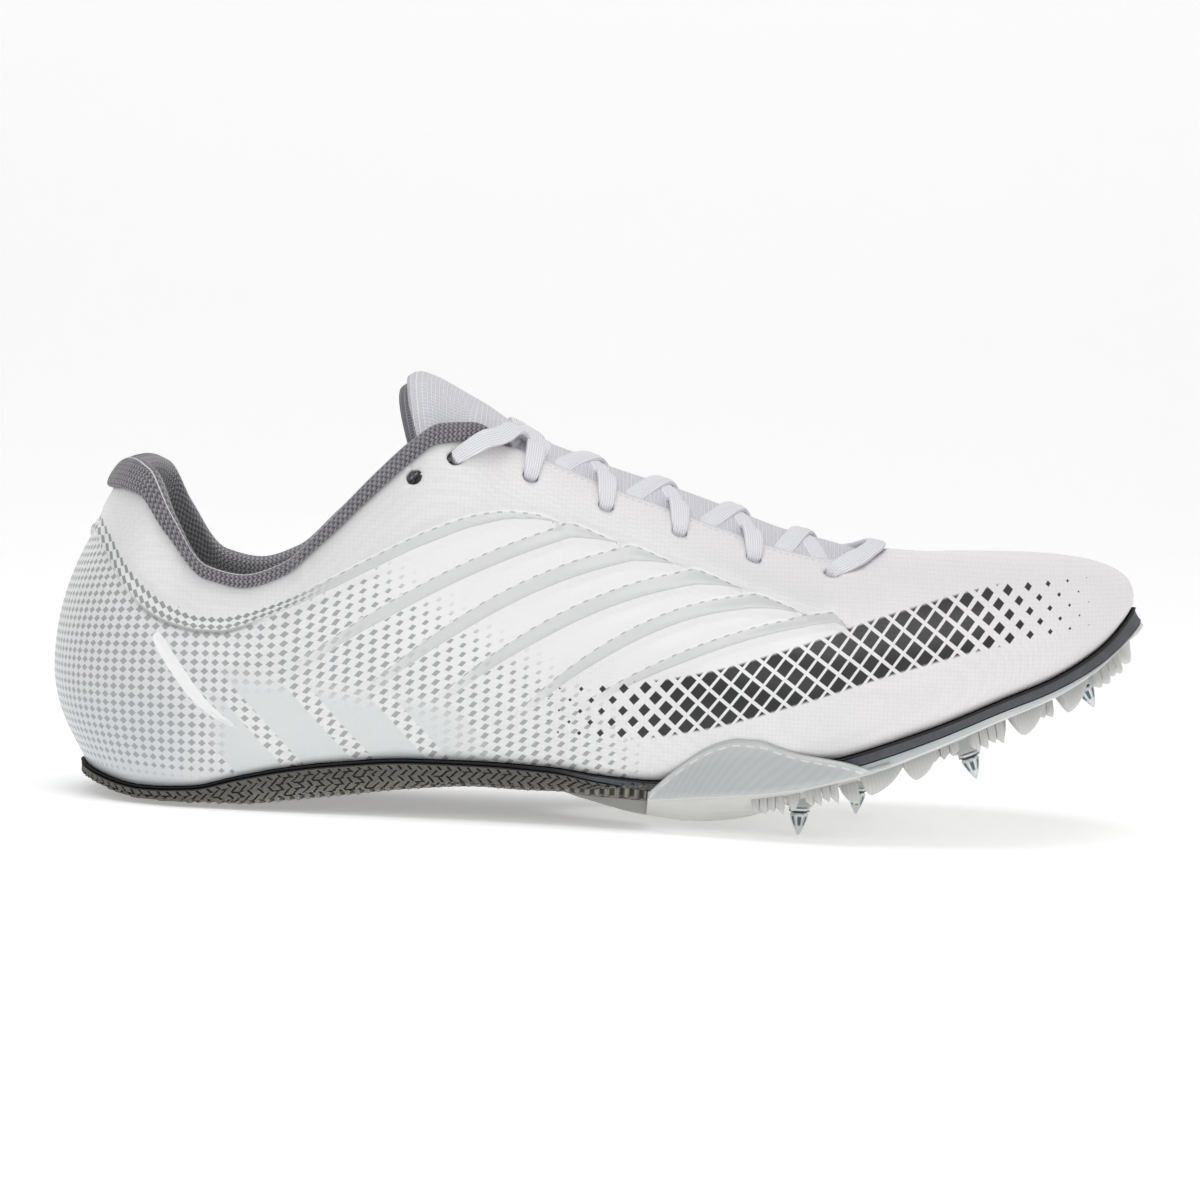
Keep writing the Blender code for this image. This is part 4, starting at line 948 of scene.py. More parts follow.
def tongueHeight(x, side, r):
    crown, half, drop = tongueCurve.at(x)
    blend = min(max((x / length - tongue["under"]) / 0.05, 0), 1)
    free = smooth(tongue["under"] * length, tongue["held"], x)
    hanging = crown - drop * (r / half) ** 2.2
    if x < tongue["held"]:
        return hanging
    face = innerFace(x, side, 0.0052 - 0.0022 * blend)
    if r >= face[0, 0]:
        held = float(np.interp(r, face[:, 0], face[:, 1]))
    else:
        r1, z1 = face[0]
        fall = (face[1, 1] - face[0, 1]) / (face[1, 0] - face[0, 0])
        u = max(r, 0) / r1
        held = float((1 - 3 * u * u + 2 * u ** 3) * crown + (3 * u * u - 2 * u ** 3) * z1
                     + (u ** 3 - u * u) * r1 * fall)
    return float(hanging * free + held * (1 - free))


def stripPoints(places, narrower, count, sink, back):
    # a strip over the instep as one grid across both sides, and its own coordinates
    points, fields = [], []
    for x in places:
        half = tongueCurve.at(x)[1] - narrower
        free = 1 - smooth(tongue["curl"][0], tongue["curl"][1], x)
        row = []
        for n in range(-count, count + 1):
            side, f = (-1 if n < 0 else 1), abs(n) / count
            curl = tongue["corner"] * f ** 2 - 0.0006 * math.sin(math.pi * f)
            ahead = free * (curl - back * (0.40 + 0.60 * math.sin(math.pi * f)))
            z = tongueHeight(x, side, half * f) - sink
            row.append(Vector((x + ahead, spine(x) + side * half * f, z)))
        wide = runAlong(row)
        points += row
        fields += [(x * 1000, (w - wide[count]) * 1000, n) for n, w in enumerate(wide)]
    return points, fields


def buildStrip(name, look, places, narrower, count, sink, wall, back=0.0):
    points, fields = stripPoints(places, narrower, count, sink, back)
    faces = gridFaces(len(places), 2 * count + 1)
    made = meshObject(name, points, faces, look, 60, 0, {"strip": fields})
    addWall(made, wall).use_even_offset = True
    return made


def tongueLook(name, pale, shade, pitch):
    look = Look(name)
    along, wide, number = look.attribute("strip")
    a = abs((along / pitch).part() - 0.5)
    b = abs((wide / pitch).part() - 0.5)
    cell = a.most(b).step(0.28, 0.46)
    fleck = look.noise(1800)
    colour = look.mix(cell * 0.8 + fleck * 0.4 - 0.1, shade, pale)
    normal = look.bump(cell + fleck * 0.25, 0.0003, 0.8)
    return look.finish(colour, 0.85, normal, sheenWeight=0.15, sheenRoughness=0.5)


places = list(np.linspace(tongueCurve.x[0], tongueCurve.x[-1], tongue["steps"]))
meshWhite = tongueLook("tongueMesh", tongue["pale"], tongue["shade"], 1.0)
tongueMesh = buildStrip("tongueMesh", meshWhite, places, 0.0, tongue["across"], 0.0, tongue["wall"])
keep(tongueMesh, "white_mesh", "tongue")
liningPlaces = [x for x in places if x < tongue["liningEnd"] * length]
liningGrey = tongueLook("tongueLining", tongue["liningPale"], tongue["liningShade"], 0.8)
tongueLining = buildStrip("tongueLining", liningGrey, liningPlaces, 0.0006, 16,
                          tongue["wall"] + 0.0009, 0.0020, tongue["liningStep"])
keep(tongueLining, "grey_lining", "tongue_lining")
print("tongue made")

# Laces: flat woven straps that come up through an eyelet and dive under the other edge
lace = {"width": 0.0050, "thickness": 0.0016, "lift": 0.0006, "bow": 0.0120, "hump": 0.0013,
        "sink": 0.0016, "front": (0.568, 0.534), "pale": (0.93, 0.93, 0.96),
        "shade": (0.66, 0.66, 0.72), "ribs": 7, "around": 40,
        "steps": 40, "tuck": 0.0042,
        # into an eyelet: out of the face, towards the strap, and the shares of width and thickness
        "entry": ((0.0005, 0.0010, 0.78, 1.1), (-0.0014, 0.0007, 0.66, 1.3),
                  (-0.0034, 0.0006, 0.62, 1.3))}


def rimRadius(x):
    return sectionAt(x)["rimL"]


def outerHeight(x, side, r):
    face = profile(sectionAt(x), side, 2, 24)[2:][::-1]
    return float(np.interp(r, face[:, 0], face[:, 1]))


def laceHeight(x, q, climbs):
    side, r = (-1 if q < 0 else 1), abs(q)
    rim = rimRadius(x)
    if r >= rim:
        return outerHeight(x, side, r)
    z = tongueHeight(x, side, r)
    if side in climbs:
        step = outerHeight(x, side, rim) - tongueHeight(x, side, rim - 0.0002)
        reach = 0.0065 if len(climbs) == 1 else 0.5
        z += step * smooth(0, 1, (r - rim + reach + 0.001) / reach)
    return z


def lacePath(start, end, climbs, extra=0.0, bow=0.0, hump=0.0, lag=1.0, lean=0.0, steps=17):
    # centres and normals of a strap between two points (x, signed distance across)
    found = []
    for t in np.linspace(0, 1, steps):
        x = start[0] + (end[0] - start[0]) * t + bow * 4 * t * (1 - t)
        q = start[1] + (end[1] - start[1]) * t ** lag
        z = laceHeight(x, q, climbs)
        slopeX = (laceHeight(x + 0.001, q, climbs) - laceHeight(x - 0.001, q, climbs)) / 0.002
        slopeQ = (laceHeight(x, q + 0.0007, climbs) - laceHeight(x, q - 0.0007, climbs)) / 0.0014
        normal = Vector((-slopeX, -slopeQ, 1)).normalized()
        lift = lace["lift"] + lace["thickness"] / 2
        if q * climbs[0] > 0:
            lift += extra * min(1, max(0, abs(q) / 0.010 - 0.8))
        lift += hump * math.exp(-(q / 0.007) ** 2)
        side = q / max(abs(start[1]), abs(end[1]))
        lift += 0.0011 * lean * abs(side)
        normal = (normal + Vector((0, side * lean, 0))).normalized()
        found.append((Vector((x, q + spine(x), z)) + normal * lift, normal))
    return found


def laceStrap(path, starts, ends):
    # starts and ends are eyelets (centre, normal) or None where the strap dives under the edge
    knots = [(centre, normal, (1.0, 1.0)) for centre, normal in path]
    for anchor in (starts, ends):
        # the end at hand is the first one, and the strap is turned round after it
        (end, up), inner = knots[0][:2], knots[1][0]
        if anchor is None:
            tip = end + (end - inner).normalized() * lace["tuck"]
            tip.z -= lace["sink"]
            extra = [(tip, up, (0.8, 0.55))]
        else:
            centre, normal = anchor
            toward = (inner - end) - normal * (inner - end).dot(normal)
            toward.normalize()
            extra = [(centre + normal * out + toward * near, -toward, (wide, thick))
                     for out, near, wide, thick in lace["entry"]]
            knots = knots[2:]
        knots = (extra[::-1] + knots)[::-1]
    return knots


def splineSample(values, count):
    # points evenly along a smooth curve through the given ones
    values = np.array(values, float)
    keys = runAlong(values[:, :3])
    padded = np.vstack((2 * values[0] - values[1], values, 2 * values[-1] - values[-2]))
    result = []
    for t in np.linspace(0, keys[-1], count):
        i = min(max(int(np.searchsorted(keys, t, side="right")) - 1, 0), len(values) - 2)
        u = (t - keys[i]) / (keys[i + 1] - keys[i])
        p0, p1, p2, p3 = padded[i:i + 4]
        result.append(0.5 * (2 * p1 + (p2 - p0) * u + (2 * p0 - 5 * p1 + 4 * p2 - p3) * u * u
                             + (3 * p1 - p0 - 3 * p2 + p3) * u ** 3))
    return np.array(result)


def laceMesh(name, straps, look):
    points, faces, fields = [], [], []
    for knots in straps:
        rows = splineSample([(*centre, *normal, *shape) for centre, normal, shape in knots],
                            lace["steps"])
        rings = []
        for n, (row, run) in enumerate(zip(rows, runAlong(rows[:, :3]))):
            before, after = rows[max(n - 1, 0)][:3], rows[min(n + 1, len(rows) - 1)][:3]
            way = Vector(after - before).normalized()
            centre, normal = Vector(row[:3]), Vector(row[3:6])
            normal = (normal - way * normal.dot(way)).normalized()
            wide = normal.cross(way)
            rings.append([])
            for k in range(lace["around"]):
                angle = math.tau * k / lace["around"]
                c, s = math.cos(angle), math.sin(angle)
                a = math.copysign(abs(c) ** 0.75, c) * lace["width"] / 2 * row[6]
                b = math.copysign(abs(s) ** 0.65, s) * lace["thickness"] / 2 * row[7]
                ribs = 1 + 0.06 * math.cos(math.tau * lace["ribs"] * (a / lace["width"] + 0.5))
                rings[-1].append(centre + wide * a + normal * b * ribs)
                fields.append((run * 1000, a * 1000, b * 1000))
        body, joined = tube(rings, len(points))
        points += body
        faces += joined
    return meshObject(name, points, faces, look, 50, 0, {"strand": fields})


def laceLook():
    look = Look("laceWhite")
    run, wide, deep = look.attribute("strand")
    ridge = abs((wide / 0.62).part() - 0.5).step(0.5, 0.1)
    pick = abs((run / 0.55 + wide / 1.24).part() - 0.5).step(0.5, 0.1)
    fleck = look.noise(2400)
    height = ridge * 0.7 + pick * 0.3 + fleck * 0.25
    colour = look.mix(height, lace["shade"], lace["pale"])
    normal = look.bump(height, 0.00018, 0.8)
    return look.finish(colour, 0.8, normal, sheenWeight=0.2, sheenRoughness=0.5)


def eyeletPlace(number, side):
    centre = eyeletFrame(number, side)[0]
    return centre.x, centre.y - spine(centre.x)


def edgePlace(along, side):
    x = along * length
    return x, side * (rimRadius(x) - 0.0032)


def eyeletStrap(number, side, dive, extra=0.0, **bends):
    # a strap from an eyelet across to where it dives under the other edge
    path = lacePath(eyeletPlace(number, side), edgePlace(dive, -side), (side,), extra, **bends)
    return laceStrap(path, eyeletFrame(number, side), None)


def buildLaces():
    look = laceLook()
    last = len(eyeletRows) - 1
    path = lacePath(eyeletPlace(last, -1), eyeletPlace(last, 1), (-1, 1), bow=lace["bow"], lean=1.1)
    bar = laceStrap(path, eyeletFrame(last, -1), eyeletFrame(last, 1))
    keep(laceMesh("laceFrontBar", [bar], look), "lace_white", "lace_front_bar")
    front = [laceStrap(lacePath(edgePlace(lace["front"][0], side), edgePlace(lace["front"][1], -side),
                                (0,), hump=lace["hump"] * (side > 0)), None, None)
             for side in (-1, 1)]
    keep(laceMesh("laceFrontCrossing", front, look), "lace_white", "lace_crossing_front")
    for number, dive in ((5, 0.464), (4, 0.396), (3, 0.330)):
        straps = [eyeletStrap(number, side, dive, bow=0.0024, hump=lace["hump"] * (side > 0))
                  for side in (-1, 1)]
        keep(laceMesh("laceCrossing%d" % number, straps, look), "lace_white",
             "lace_crossing_%d" % number)
    top = []
    for side in (-1, 1):
        top.append(eyeletStrap(2, side, 0.276, bow=0.0030, hump=lace["hump"]))
        top.append(eyeletStrap(1, side, 0.306, 0.0019, bow=0.0080, lag=1.3))
    keep(laceMesh("laceTopCrossing", top, look), "lace_white", "lace_crossing_top")


buildLaces()
print("laces made")


# Soles: strip, plate, heel rubber and insole as rings across one half, swept round the edge
sole = {"edge": 0.0010, "toeLip": 0.0020, "forkEdge": 0.118, "forkCentre": 0.093,
        "forkWidth": 0.036, "flat": 0.45}
topShares = np.linspace(0, 0.94, 14)


def soleHeights(x):
    # heights of the foot line, the strip's lower side, the plate's top, keel and side edge
    foot, strip, keel, band = np.moveaxis(soleCurve.at(x), -1, 0)
    strip = strip * (0.55 + 0.45 * smooth(0.090, 0.135, x))
    slope = (footLine(x + 0.001) - footLine(x - 0.001)) / 0.002
    clear = shoe["gap"] * np.hypot(1, slope)
    return {"foot": foot, "stripTop": foot - clear, "strip": foot - strip,
            "top": foot - strip - clear, "keel": keel, "band": band}


def wallHeights(x, share, wall):
    # heights of the side wall, and of the underside that rises from the keel to its edge
    h = soleHeights(x)
    f = np.clip((share - sole["flat"]) / (1 - sole["flat"]), 0, 1)
    return h["top"] + (h["band"] - h["top"]) * wall, h["keel"] + (h["band"] - h["keel"]) * f * f


def forkPull(y, amount):
    # how far the forked joint of rubber and plate pulls a point back towards the heel
    reach = (sole["forkEdge"] - sole["forkCentre"]) * amount
    return reach * np.clip(1 - (2 * y / sole["forkWidth"]) ** 2, 0, 1)


def soleHalf(side, cuts, ringOf, pull=None):
    # ringOf gives the radii, a height function and the shader's rows for one ring
    points, fields = [], []
    for cut in cuts:
        radii, heights, rows = ringOf(cut, footOf(cut, side), max(cut["cos"], 0))
        x = cut["along"] + cut["cos"] * radii
        y = spine(cut["along"]) + side * cut["sin"] * radii
        if pull:
            x = x - forkPull(y, float(smooth(*pull, cut["along"])))
        z = heights(x)
        points.append(np.stack((x, y, z), -1))
        fields.append(rows)
    return np.array(points), np.array(fields)


def capFaces(points, start, count, ahead):
    # a wall between the top and the underside of an end ring, from its middle outwards
    def across(k):
        return abs(points[k][1] - spine(points[k][0]))
    top, low, faces = start, start + count - 1, []
    while low - top > 1:
        if across(top + 1) < across(low - 1):
            faces.append([top, top + 1, low])
            top += 1
        else:
            faces.append([top, low - 1, low])
            low -= 1
    a, b, c = (Vector(points[k]) for k in faces[0])
    away = (b - a).cross(c - a).x * ahead < 0
    return [face[::-1] for face in faces] if away else faces


def solePiece(name, look, cuts, ringOf, caps=(), pull=None, angle=40):
    points, faces, fields = [], [], []
    for side in (-1, 1):
        start = len(points)
        grid, rows = soleHalf(side, cuts, ringOf, pull)
        points += list(grid.reshape(-1, 3))
        fields.append(rows.reshape(-1, 3))
        faces += gridFaces(len(cuts), grid.shape[1], start, flip=side > 0)
    count = grid.shape[1]
    for ahead in caps:
        near = (len(cuts) - 1) * count if ahead > 0 else 0
        for start in (near, len(cuts) * count + near):
            faces += capFaces(points, start, count, ahead)
    return meshObject(name, points, faces, look, angle, 1e-6, {"ring": np.concatenate(fields)})


def stations(first, last, pitch):
    return [section(m) for m in np.linspace(first, last, int((last - first) / pitch) + 1)]


# Midsole strip: a dark foam edge that shows between the upper and the plate
strip = {"wall": 9, "lip": 0.00035, "waist": 0.00025, "dark": (0.050, 0.053, 0.060),
         "pale": (0.135, 0.14, 0.15), "edge": (0.012, 0.012, 0.014), "heel": (0.016, 0.016, 0.017)}


def stripRing(cut, foot, ahead):
    down = np.linspace(0, 1, strip["wall"])
    edge = foot + sole["edge"]
    belly = strip["lip"] * np.sin(np.pi * np.clip(down / 0.22, 0, 1))
    belly -= strip["waist"] * np.sin(np.pi * down)
    wall = edge + belly + sole["toeLip"] * ahead * down
    radii = np.concatenate(([0, foot * 0.7], wall, [foot * 0.7, 0]))
    share = np.concatenate(([0, 0], down, [1, 1]))

    def heights(x):
        level = soleHeights(x)
        return level["stripTop"] + (level["strip"] - level["stripTop"]) * share
    rows = [(cut["mark"] * 1000, d, r / edge) for d, r in zip(share, radii)]
    return radii, heights, rows


def foamLook():
    look = Look("charcoalFoam")
    run, down, out = look.attribute("ring")
    grain = look.noise(1300, 3)
    coarse = look.noise(260)
    lip = down.step(0.30, 0.16)
    base = look.mix(grain * 0.6 + coarse * 0.5 - 0.05, strip["dark"], strip["pale"])
    # painted shadow: a near-black line along the top of the strip's outer wall, under the upper
    colour = look.paint(base, (lip * out.step(0.9, 0.98), strip["edge"]),
                        (run.step(148, 136), strip["heel"]))
    normal = look.bump(grain * 0.7 + coarse * 0.3, 0.00016, 0.8)
    return look.finish(colour, 0.72, normal)


midsoleStrip = solePiece("midsoleStrip", foamLook(), stations(0, marks[-1], 0.0010), stripRing)
keep(midsoleStrip, "charcoal_foam", "midsole")


# Insole: a thin foam bed under the foot with a woven top
insole = {"thick": 0.0025, "seat": 0.0028, "weave": 900, "dark": (0.07, 0.072, 0.08),
          "pale": (0.20, 0.205, 0.215)}


def insoleRing(cut, foot, ahead):
    edge = foot - insole["seat"]
    shares = np.linspace(0, 1, 9)
    radii = np.concatenate((edge * shares * 0.97, [edge, edge, edge * 0.97, 0]))
    share = np.concatenate((np.ones(9), [0.85, 0.1, 0, 0]))
    rows = [(cut["mark"] * 1000, r * 1000, s) for r, s in zip(radii, share)]
    return radii, lambda x: soleHeights(x)["foot"] + insole["thick"] * share, rows


def insoleLook():
    look = Look("insoleFoam")
    x, y = look.parts(look.position())[:2]
    weave = ((x + y) * insole["weave"]).wave().most(((x - y) * insole["weave"]).wave()) * 0.5 + 0.5
    grain = look.noise(1500)
    colour = look.mix(weave * 0.7 + grain * 0.4 - 0.05, insole["dark"], insole["pale"])
    return look.finish(colour, 0.9, look.bump(weave + grain * 0.4, 0.00015, 0.7), sheenWeight=0.2,
                       sheenRoughness=0.5)


insoleBed = solePiece("insoleBed", insoleLook(), stations(0, marks[-1], 0.0030), insoleRing)
keep(insoleBed, "insole_foam", "insole")

# Heel rubber: a serrated outsole from the heel to the forked joint, its tread cut inwards
heelTread = {"pitch": 0.0025, "row": 0.0015, "depth": 0.00050, "under": 0.0014, "lip": 0.0003,
             "wallRows": 44, "step": 0.00034, "rise": 0.0040, "above": -0.009,
             "dark": (0.060, 0.059, 0.054), "pale": (0.24, 0.228, 0.20),
             "worn": (0.36, 0.345, 0.30), "cut": (0.013, 0.013, 0.0125)}


def treadDepth(run, down, wall):
    # zigzag bars on the wall and straight teeth on the underside, as shares of their depth
    row = np.floor(down / heelTread["row"])
    within = down / heelTread["row"] - row
    lean = np.where(row % 2 > 0, 1.0, -1.0)
    u = run / heelTread["pitch"] + lean * (within - 0.5) * 0.62 + row * 0.37
    bar = np.abs(u - np.floor(u) - 0.5)
    groove = smooth(0.19, 0.10, bar)
    u = u * 0.5
    gap = smooth(0.16, 0.06, np.abs(within)) * (u - np.floor(u) < 0.55)
    groove = np.maximum(groove, gap) * smooth(heelTread["lip"], heelTread["lip"] + 0.0003, down)
    below = smooth(wall * 0.86, wall, down)
    u = run / heelTread["pitch"]
    tooth = np.abs(u - np.floor(u) - 0.5) * 2
    return groove * (1 - below), tooth * below


def heelRing(cut, foot, ahead):
    edge = foot + sole["edge"]
    level = soleHeights(np.array([cut["along"] + edge * cut["cos"]]))
    tall = float(level["top"][0] - level["band"][0])
    deep = float(level["band"][0] - level["keel"][0])
    under = np.linspace(1, sole["flat"], 13)
    curve = ((under - sole["flat"]) / (1 - sole["flat"])) ** 2
    keys = np.concatenate(([0], tall + runAlong(np.stack((under * edge, curve * deep), -1))))
    reach = tall + max(0.0040, float(np.interp(0.25, curve[::-1], keys[1:][::-1]) - tall))
    down = np.linspace(0, reach, heelTread["wallRows"])
    down = np.concatenate((down, np.linspace(reach, keys[-1], 9)[1:]))
    share = np.interp(down, keys, np.concatenate(([1], under)))
    wall = np.clip(down / tall, 0, 1)
    inward, below = treadDepth(cut["mark"], down, tall)
    lip = 0.00025 * smooth(heelTread["lip"], heelTread["lip"] * 0.6, down)
    radii = share * edge + lip * (down > 0) - inward * heelTread["depth"]
    below *= smooth(0.55, 0.75, share)

    def whole(top, middle, low):
        # values over the top, down the wall and across the underside
        return np.concatenate((topShares * top, middle, low))

    radii = whole(edge, radii, [edge * 0.2, 0])
    share = whole(0, share, [0.2, 0])
    wall = whole(0, wall, [1, 1])
    tooth = whole(0, below, [0, 0]) * heelTread["under"]
    rise = heelTread["rise"] * smooth(0.082, 0.126, cut["along"])

    def heights(x):
        z, bottom = wallHeights(x, share, wall)
        return np.where(wall < 1, z, bottom) + tooth + rise * wall
    cutDeep = whole(0, np.maximum(inward, below), [0, 0])
    away = whole(0, down, [0.03, 0.04])
    away[:len(topShares)] = heelTread["above"]
    rows = [(cut["mark"] * 1000, d * 1000, g) for d, g in zip(away, cutDeep)]
    return radii, heights, rows


def rubberLook():
    look = Look("greyRubber")
    run, down, groove = look.attribute("ring")
    grain = look.noise(1500, 3)
    # the middle of the underside: a herringbone cut in the shader
    x, y = look.parts(look.position())[:2]
    bars = (x * 260 + abs((y * 105).part() - 0.5) * 1.9).part()
    groove = groove.most(abs(bars - 0.5).step(0.24, 0.14) * down.step(13, 17))
    # painted highlight: the lower rows of the wall are painted paler, and the edges of the grooves
    # paler still, most on the lower rows
    low = down.step(2.0, 8.5)
    edge = abs(groove - 0.25).step(0.20, 0.08) * (low * 0.6 + 0.2)
    base = look.mix(grain * 0.6 + low * 0.5, heelTread["dark"], heelTread["pale"])
    # painted shade in the grooves, and a dark line along the top edge of the wall
    colour = look.paint(base, (edge, heelTread["worn"]), (groove.step(0.30, 0.75), heelTread["cut"]),
                        (down.step(0.40, 0.25), heelTread["cut"]))
    normal = look.bump(grain - groove * down.step(12, 14) * 4, 0.00012, 0.7)
    return look.finish(colour, 0.62, normal)


heelRubber = solePiece("heelRubber", rubberLook(),
                       stations(0, markOf(sole["forkEdge"]), heelTread["step"]), heelRing, (1,),
                       (0.055, sole["forkEdge"]), 60)
keep(heelRubber, "grey_rubber", "heel_outsole")
print("strip, insole and heel rubber made")

# Plate: a frosted translucent slab with side wings, fins round its edge and spike posts
plate = {"under": 26, "wall": 7, "rib": 0.00035, "wing": 0.0011, "finThick": 0.0036,
         "finRoot": 0.0010, "post": 0.0037, "crest": 0.00045, "shade": (0.58, 0.58, 0.555),
         "pale": (0.70, 0.695, 0.67), "wallShade": (0.44, 0.47, 0.49), "wallPale": (0.60, 0.62, 0.62),
         "edgePale": (0.80, 0.80, 0.79), "wingShade": (0.45, 0.472, 0.475),
         "wingPale": (0.57, 0.587, 0.585), "wingRim": (0.62, 0.635, 0.62), "dash": (0.85, 0.85, 0.84),
         "finShade": (0.42, 0.43, 0.42), "finPale": (0.58, 0.58, 0.565)}
wingRows = ((0.4235, 0.172), (0.431, 0.208), (0.448, 0.285), (0.463, 0.343), (0.481, 0.393),
            (0.500, 0.418), (0.518, 0.417), (0.537, 0.393), (0.556, 0.373), (0.575, 0.362),
            (0.594, 0.350), (0.606, 0.338), (0.620, 0.318), (0.634, 0.290))
finRows = (  # from, to along the edge in mm, place of the tip, depth in mm, blades, inset in mm
    (187.0, 195.0, 0.7, 5.2, 4, 0), (195.4, 199.0, 0.3, 4.4, 1, 0.5),
    (200.0, 208.3, 0.75, 5.3, 4, 0), (209.0, 213.6, 0.80, 5.6, 0, 6.0),
    (213.6, 224.4, 0.18, 5.3, 0, 0), (223.8, 232.8, 0.28, 5.4, 0, 0),
    (231.0, 238.0, 0.35, 3.4, 3, 1.5), (240.3, 248.8, 0.8, 5.6, 4, 0),
    (249.6, 252.8, 0.6, 4.2, 0, 4.5), (251.4, 261.6, 0.34, 5.8, 0, 0),
    (261.8, 266.6, 0.8, 4.6, 2, 3.0), (266.8, 277.0, 0.20, 5.4, 0, 0),
    (278.6, 289.4, 0.8, 5.3, 4, 0), (291.0, 304.2, 0.62, 5.8, 0, 0.8))
finSection = (  # across a blade, and the share of its depth there
    (0, 0), (0.02, 0.5), (0.10, 0.85), (0.22, 0.97), (0.36, 1.0), (0.50, 0.97), (0.62, 0.85),
    (0.80, 0.5), (1, 0))
spikeSize = {"point": 0.0056, "base": 0.0014, "hex": 0.0027, "shade": (0.55, 0.58, 0.60),
             "pale": (0.80, 0.82, 0.83), "core": (0.10, 0.14, 0.15), "line": (0.05, 0.06, 0.065),
             "places": (0.04, 0.25, 0.5, 0.75, 0.96), "hollow": 0.10}
spikeRows = (  # along as a share of the length, across, height of the tip, forward tilt
    (0.560, -0.025, 0.0000, 0), (0.622, 0.025, 0.0000, 0), (0.718, -0.025, 0.0164, 22),
    (0.735, 0.025, 0.0172, 22), (0.831, 0.002, 0.0335, 30))


def plateRing(cut, foot, ahead):
    # top, a crest under the strip, the wall down to the side edge, and the keel
    down = np.linspace(0, 1, plate["wall"])
    crest = plate["crest"] * np.sin(np.pi * np.clip(down * 1.25, 0, 1)) ** 2
    edge = foot + sole["edge"] + sole["toeLip"] * ahead
    wall = edge + crest + 0.0006 * down * (1 - down) - 0.0004 * smooth(0.7, 1.0, down)
    under = np.concatenate((np.linspace(0.985, sole["flat"], plate["under"]), [0.3, 0.15, 0]))
    radii = np.concatenate((topShares * edge, wall, under * edge))
    wallShare = np.concatenate((topShares * 0, down, np.ones(len(under))))
    share = np.concatenate((topShares * 0, np.ones(len(down)), under))
    rib = np.abs(((share * edge * 1000) / 4.2) % 1 - 0.5) * 2
    rib = plate["rib"] * smooth(0.55, 0.75, rib) * (wallShare >= 1) * smooth(0.95, 0.85, share)
    rib *= smooth(0.20, 0.26, share) * smooth(0.125, 0.14, cut["along"]) * (cut["turn"] > 40)

    def heights(x):
        z, bottom = wallHeights(x, share, wallShare)
        return np.where(wallShare < 1, z, bottom + rib)
    rows = [(cut["mark"] * 1000, w * 2 - 1 if w < 1 else 1 + (1 - s) * 8, 0)
            for w, s in zip(wallShare, share)]
    return radii, heights, rows


def wingSkin(side, steps=90, rows=20):
    # a thin shell over the upper's side with a rounded rim, thickest at its base
    curve = tableCurve(wingRows, (length, toeRise))
    rings, fields = [], []
    for x in np.linspace(curve.x[0] + 0.0001, curve.x[-1], steps):
        cut = sectionAt(x)
        foot = footOf(cut, side)
        face = profile(cut, side, 12, 24)
        level = soleHeights(np.array([x]))
        base = float(level["band"][0]) + 0.0009
        top = max(float(curve.at(x)[0]), base + 0.0002)
        t = np.linspace(0, 1, rows)
        z = base + (top - base) * t
        r = np.maximum(np.interp(z, face[:, 1], face[:, 0]), foot + sole["edge"] + 0.0006) + 0.0003
        inner = np.stack((r, z), -1)
        thick = plate["wing"] * (0.75 + 0.75 * (1 - t))
        thick = thick * np.sqrt(np.clip((1 - t) * rows / 2.2, 0.06, 1))
        crest = 0.00030 * np.exp(-((z - base) / 0.0007) ** 2)
        outer = np.stack((r + thick + crest, z + 0.0002 * t), -1)
        low = [(foot + sole["edge"] + plate["wing"] * 1.1, float(level["band"][0]) + 0.0005),
               (foot - 0.0020, float(level["band"][0]) + 0.0014)]
        ring = [(foot + sole["edge"] + 0.0004, float(level["top"][0]) - 0.0010)]
        ring += list(inner) + list(outer[::-1]) + low
        rings.append([place(cut, side, *point) for point in ring])
        below = [-2.0] + [1.0] * rows + [float((top - v) * 1000) for v in outer[::-1, 1]] + [-3.0, -4.0]
        fields += [(cut["mark"] * 1000, -b if b > 0 else b - 20, 1) for b in below]
    return *tube(rings), fields


def bandPoint(mark, side):
    cut = section(mark)
    radius = footOf(cut, side) - 0.0008 + sole["toeLip"] * max(cut["cos"], 0)
    return place(cut, side, radius, 0)


def finRing(mark, side, depth, inset, thick):
    # a rounded blade's section: its root inside the plate, its tip thinner
    here, ahead = bandPoint(mark, side), bandPoint(mark + 0.001, side)
    run = (ahead - here).normalized()
    out = run.cross(Vector((0, 0, 1))) * (-side)
    out = Vector((out.x, out.y, 0)).normalized()
    points = []
    for across, deep in finSection:
        root = here - out * (inset + thick * across)
        band, keel = float(bandLine(root.x)), float(keelLine(root.x))
        share = min((inset + thick * across) / 0.022, 1)
        root.z = band + (keel - band) * (1 - (1 - share) ** 2)
        rise = (float(bandLine(root.x + 0.001)) - float(bandLine(root.x - 0.001))) / 0.002
        down = Vector((rise * 0.7, 0, -1)).normalized()
        points.append(root + down * (depth * deep - plate["finRoot"] * (1 - deep)))
    return points


def finOutline(tip, count, solid):
    # depth along a fin: steep behind its tip and rounded ahead of it, or the other way
    if solid:
        return [(0, 0.03), (0.02, 0.66), (tip - 0.06, 0.97), (tip, 1), (tip + 0.05, 0.96),
                (0.98, 0.70), (1, 0.03)]
    rows = []
    for t in np.linspace(0, 1, count):
        u = t / tip if t < tip else (1 - t) / (1 - tip)
        steep = tip < 0.5 if t < tip else tip >= 0.5
        deep = math.sin(min(1, u) * math.pi / 2) ** (0.90 if steep else 0.72)
        rows.append((float(t), deep * 0.97 + 0.03))
    return rows


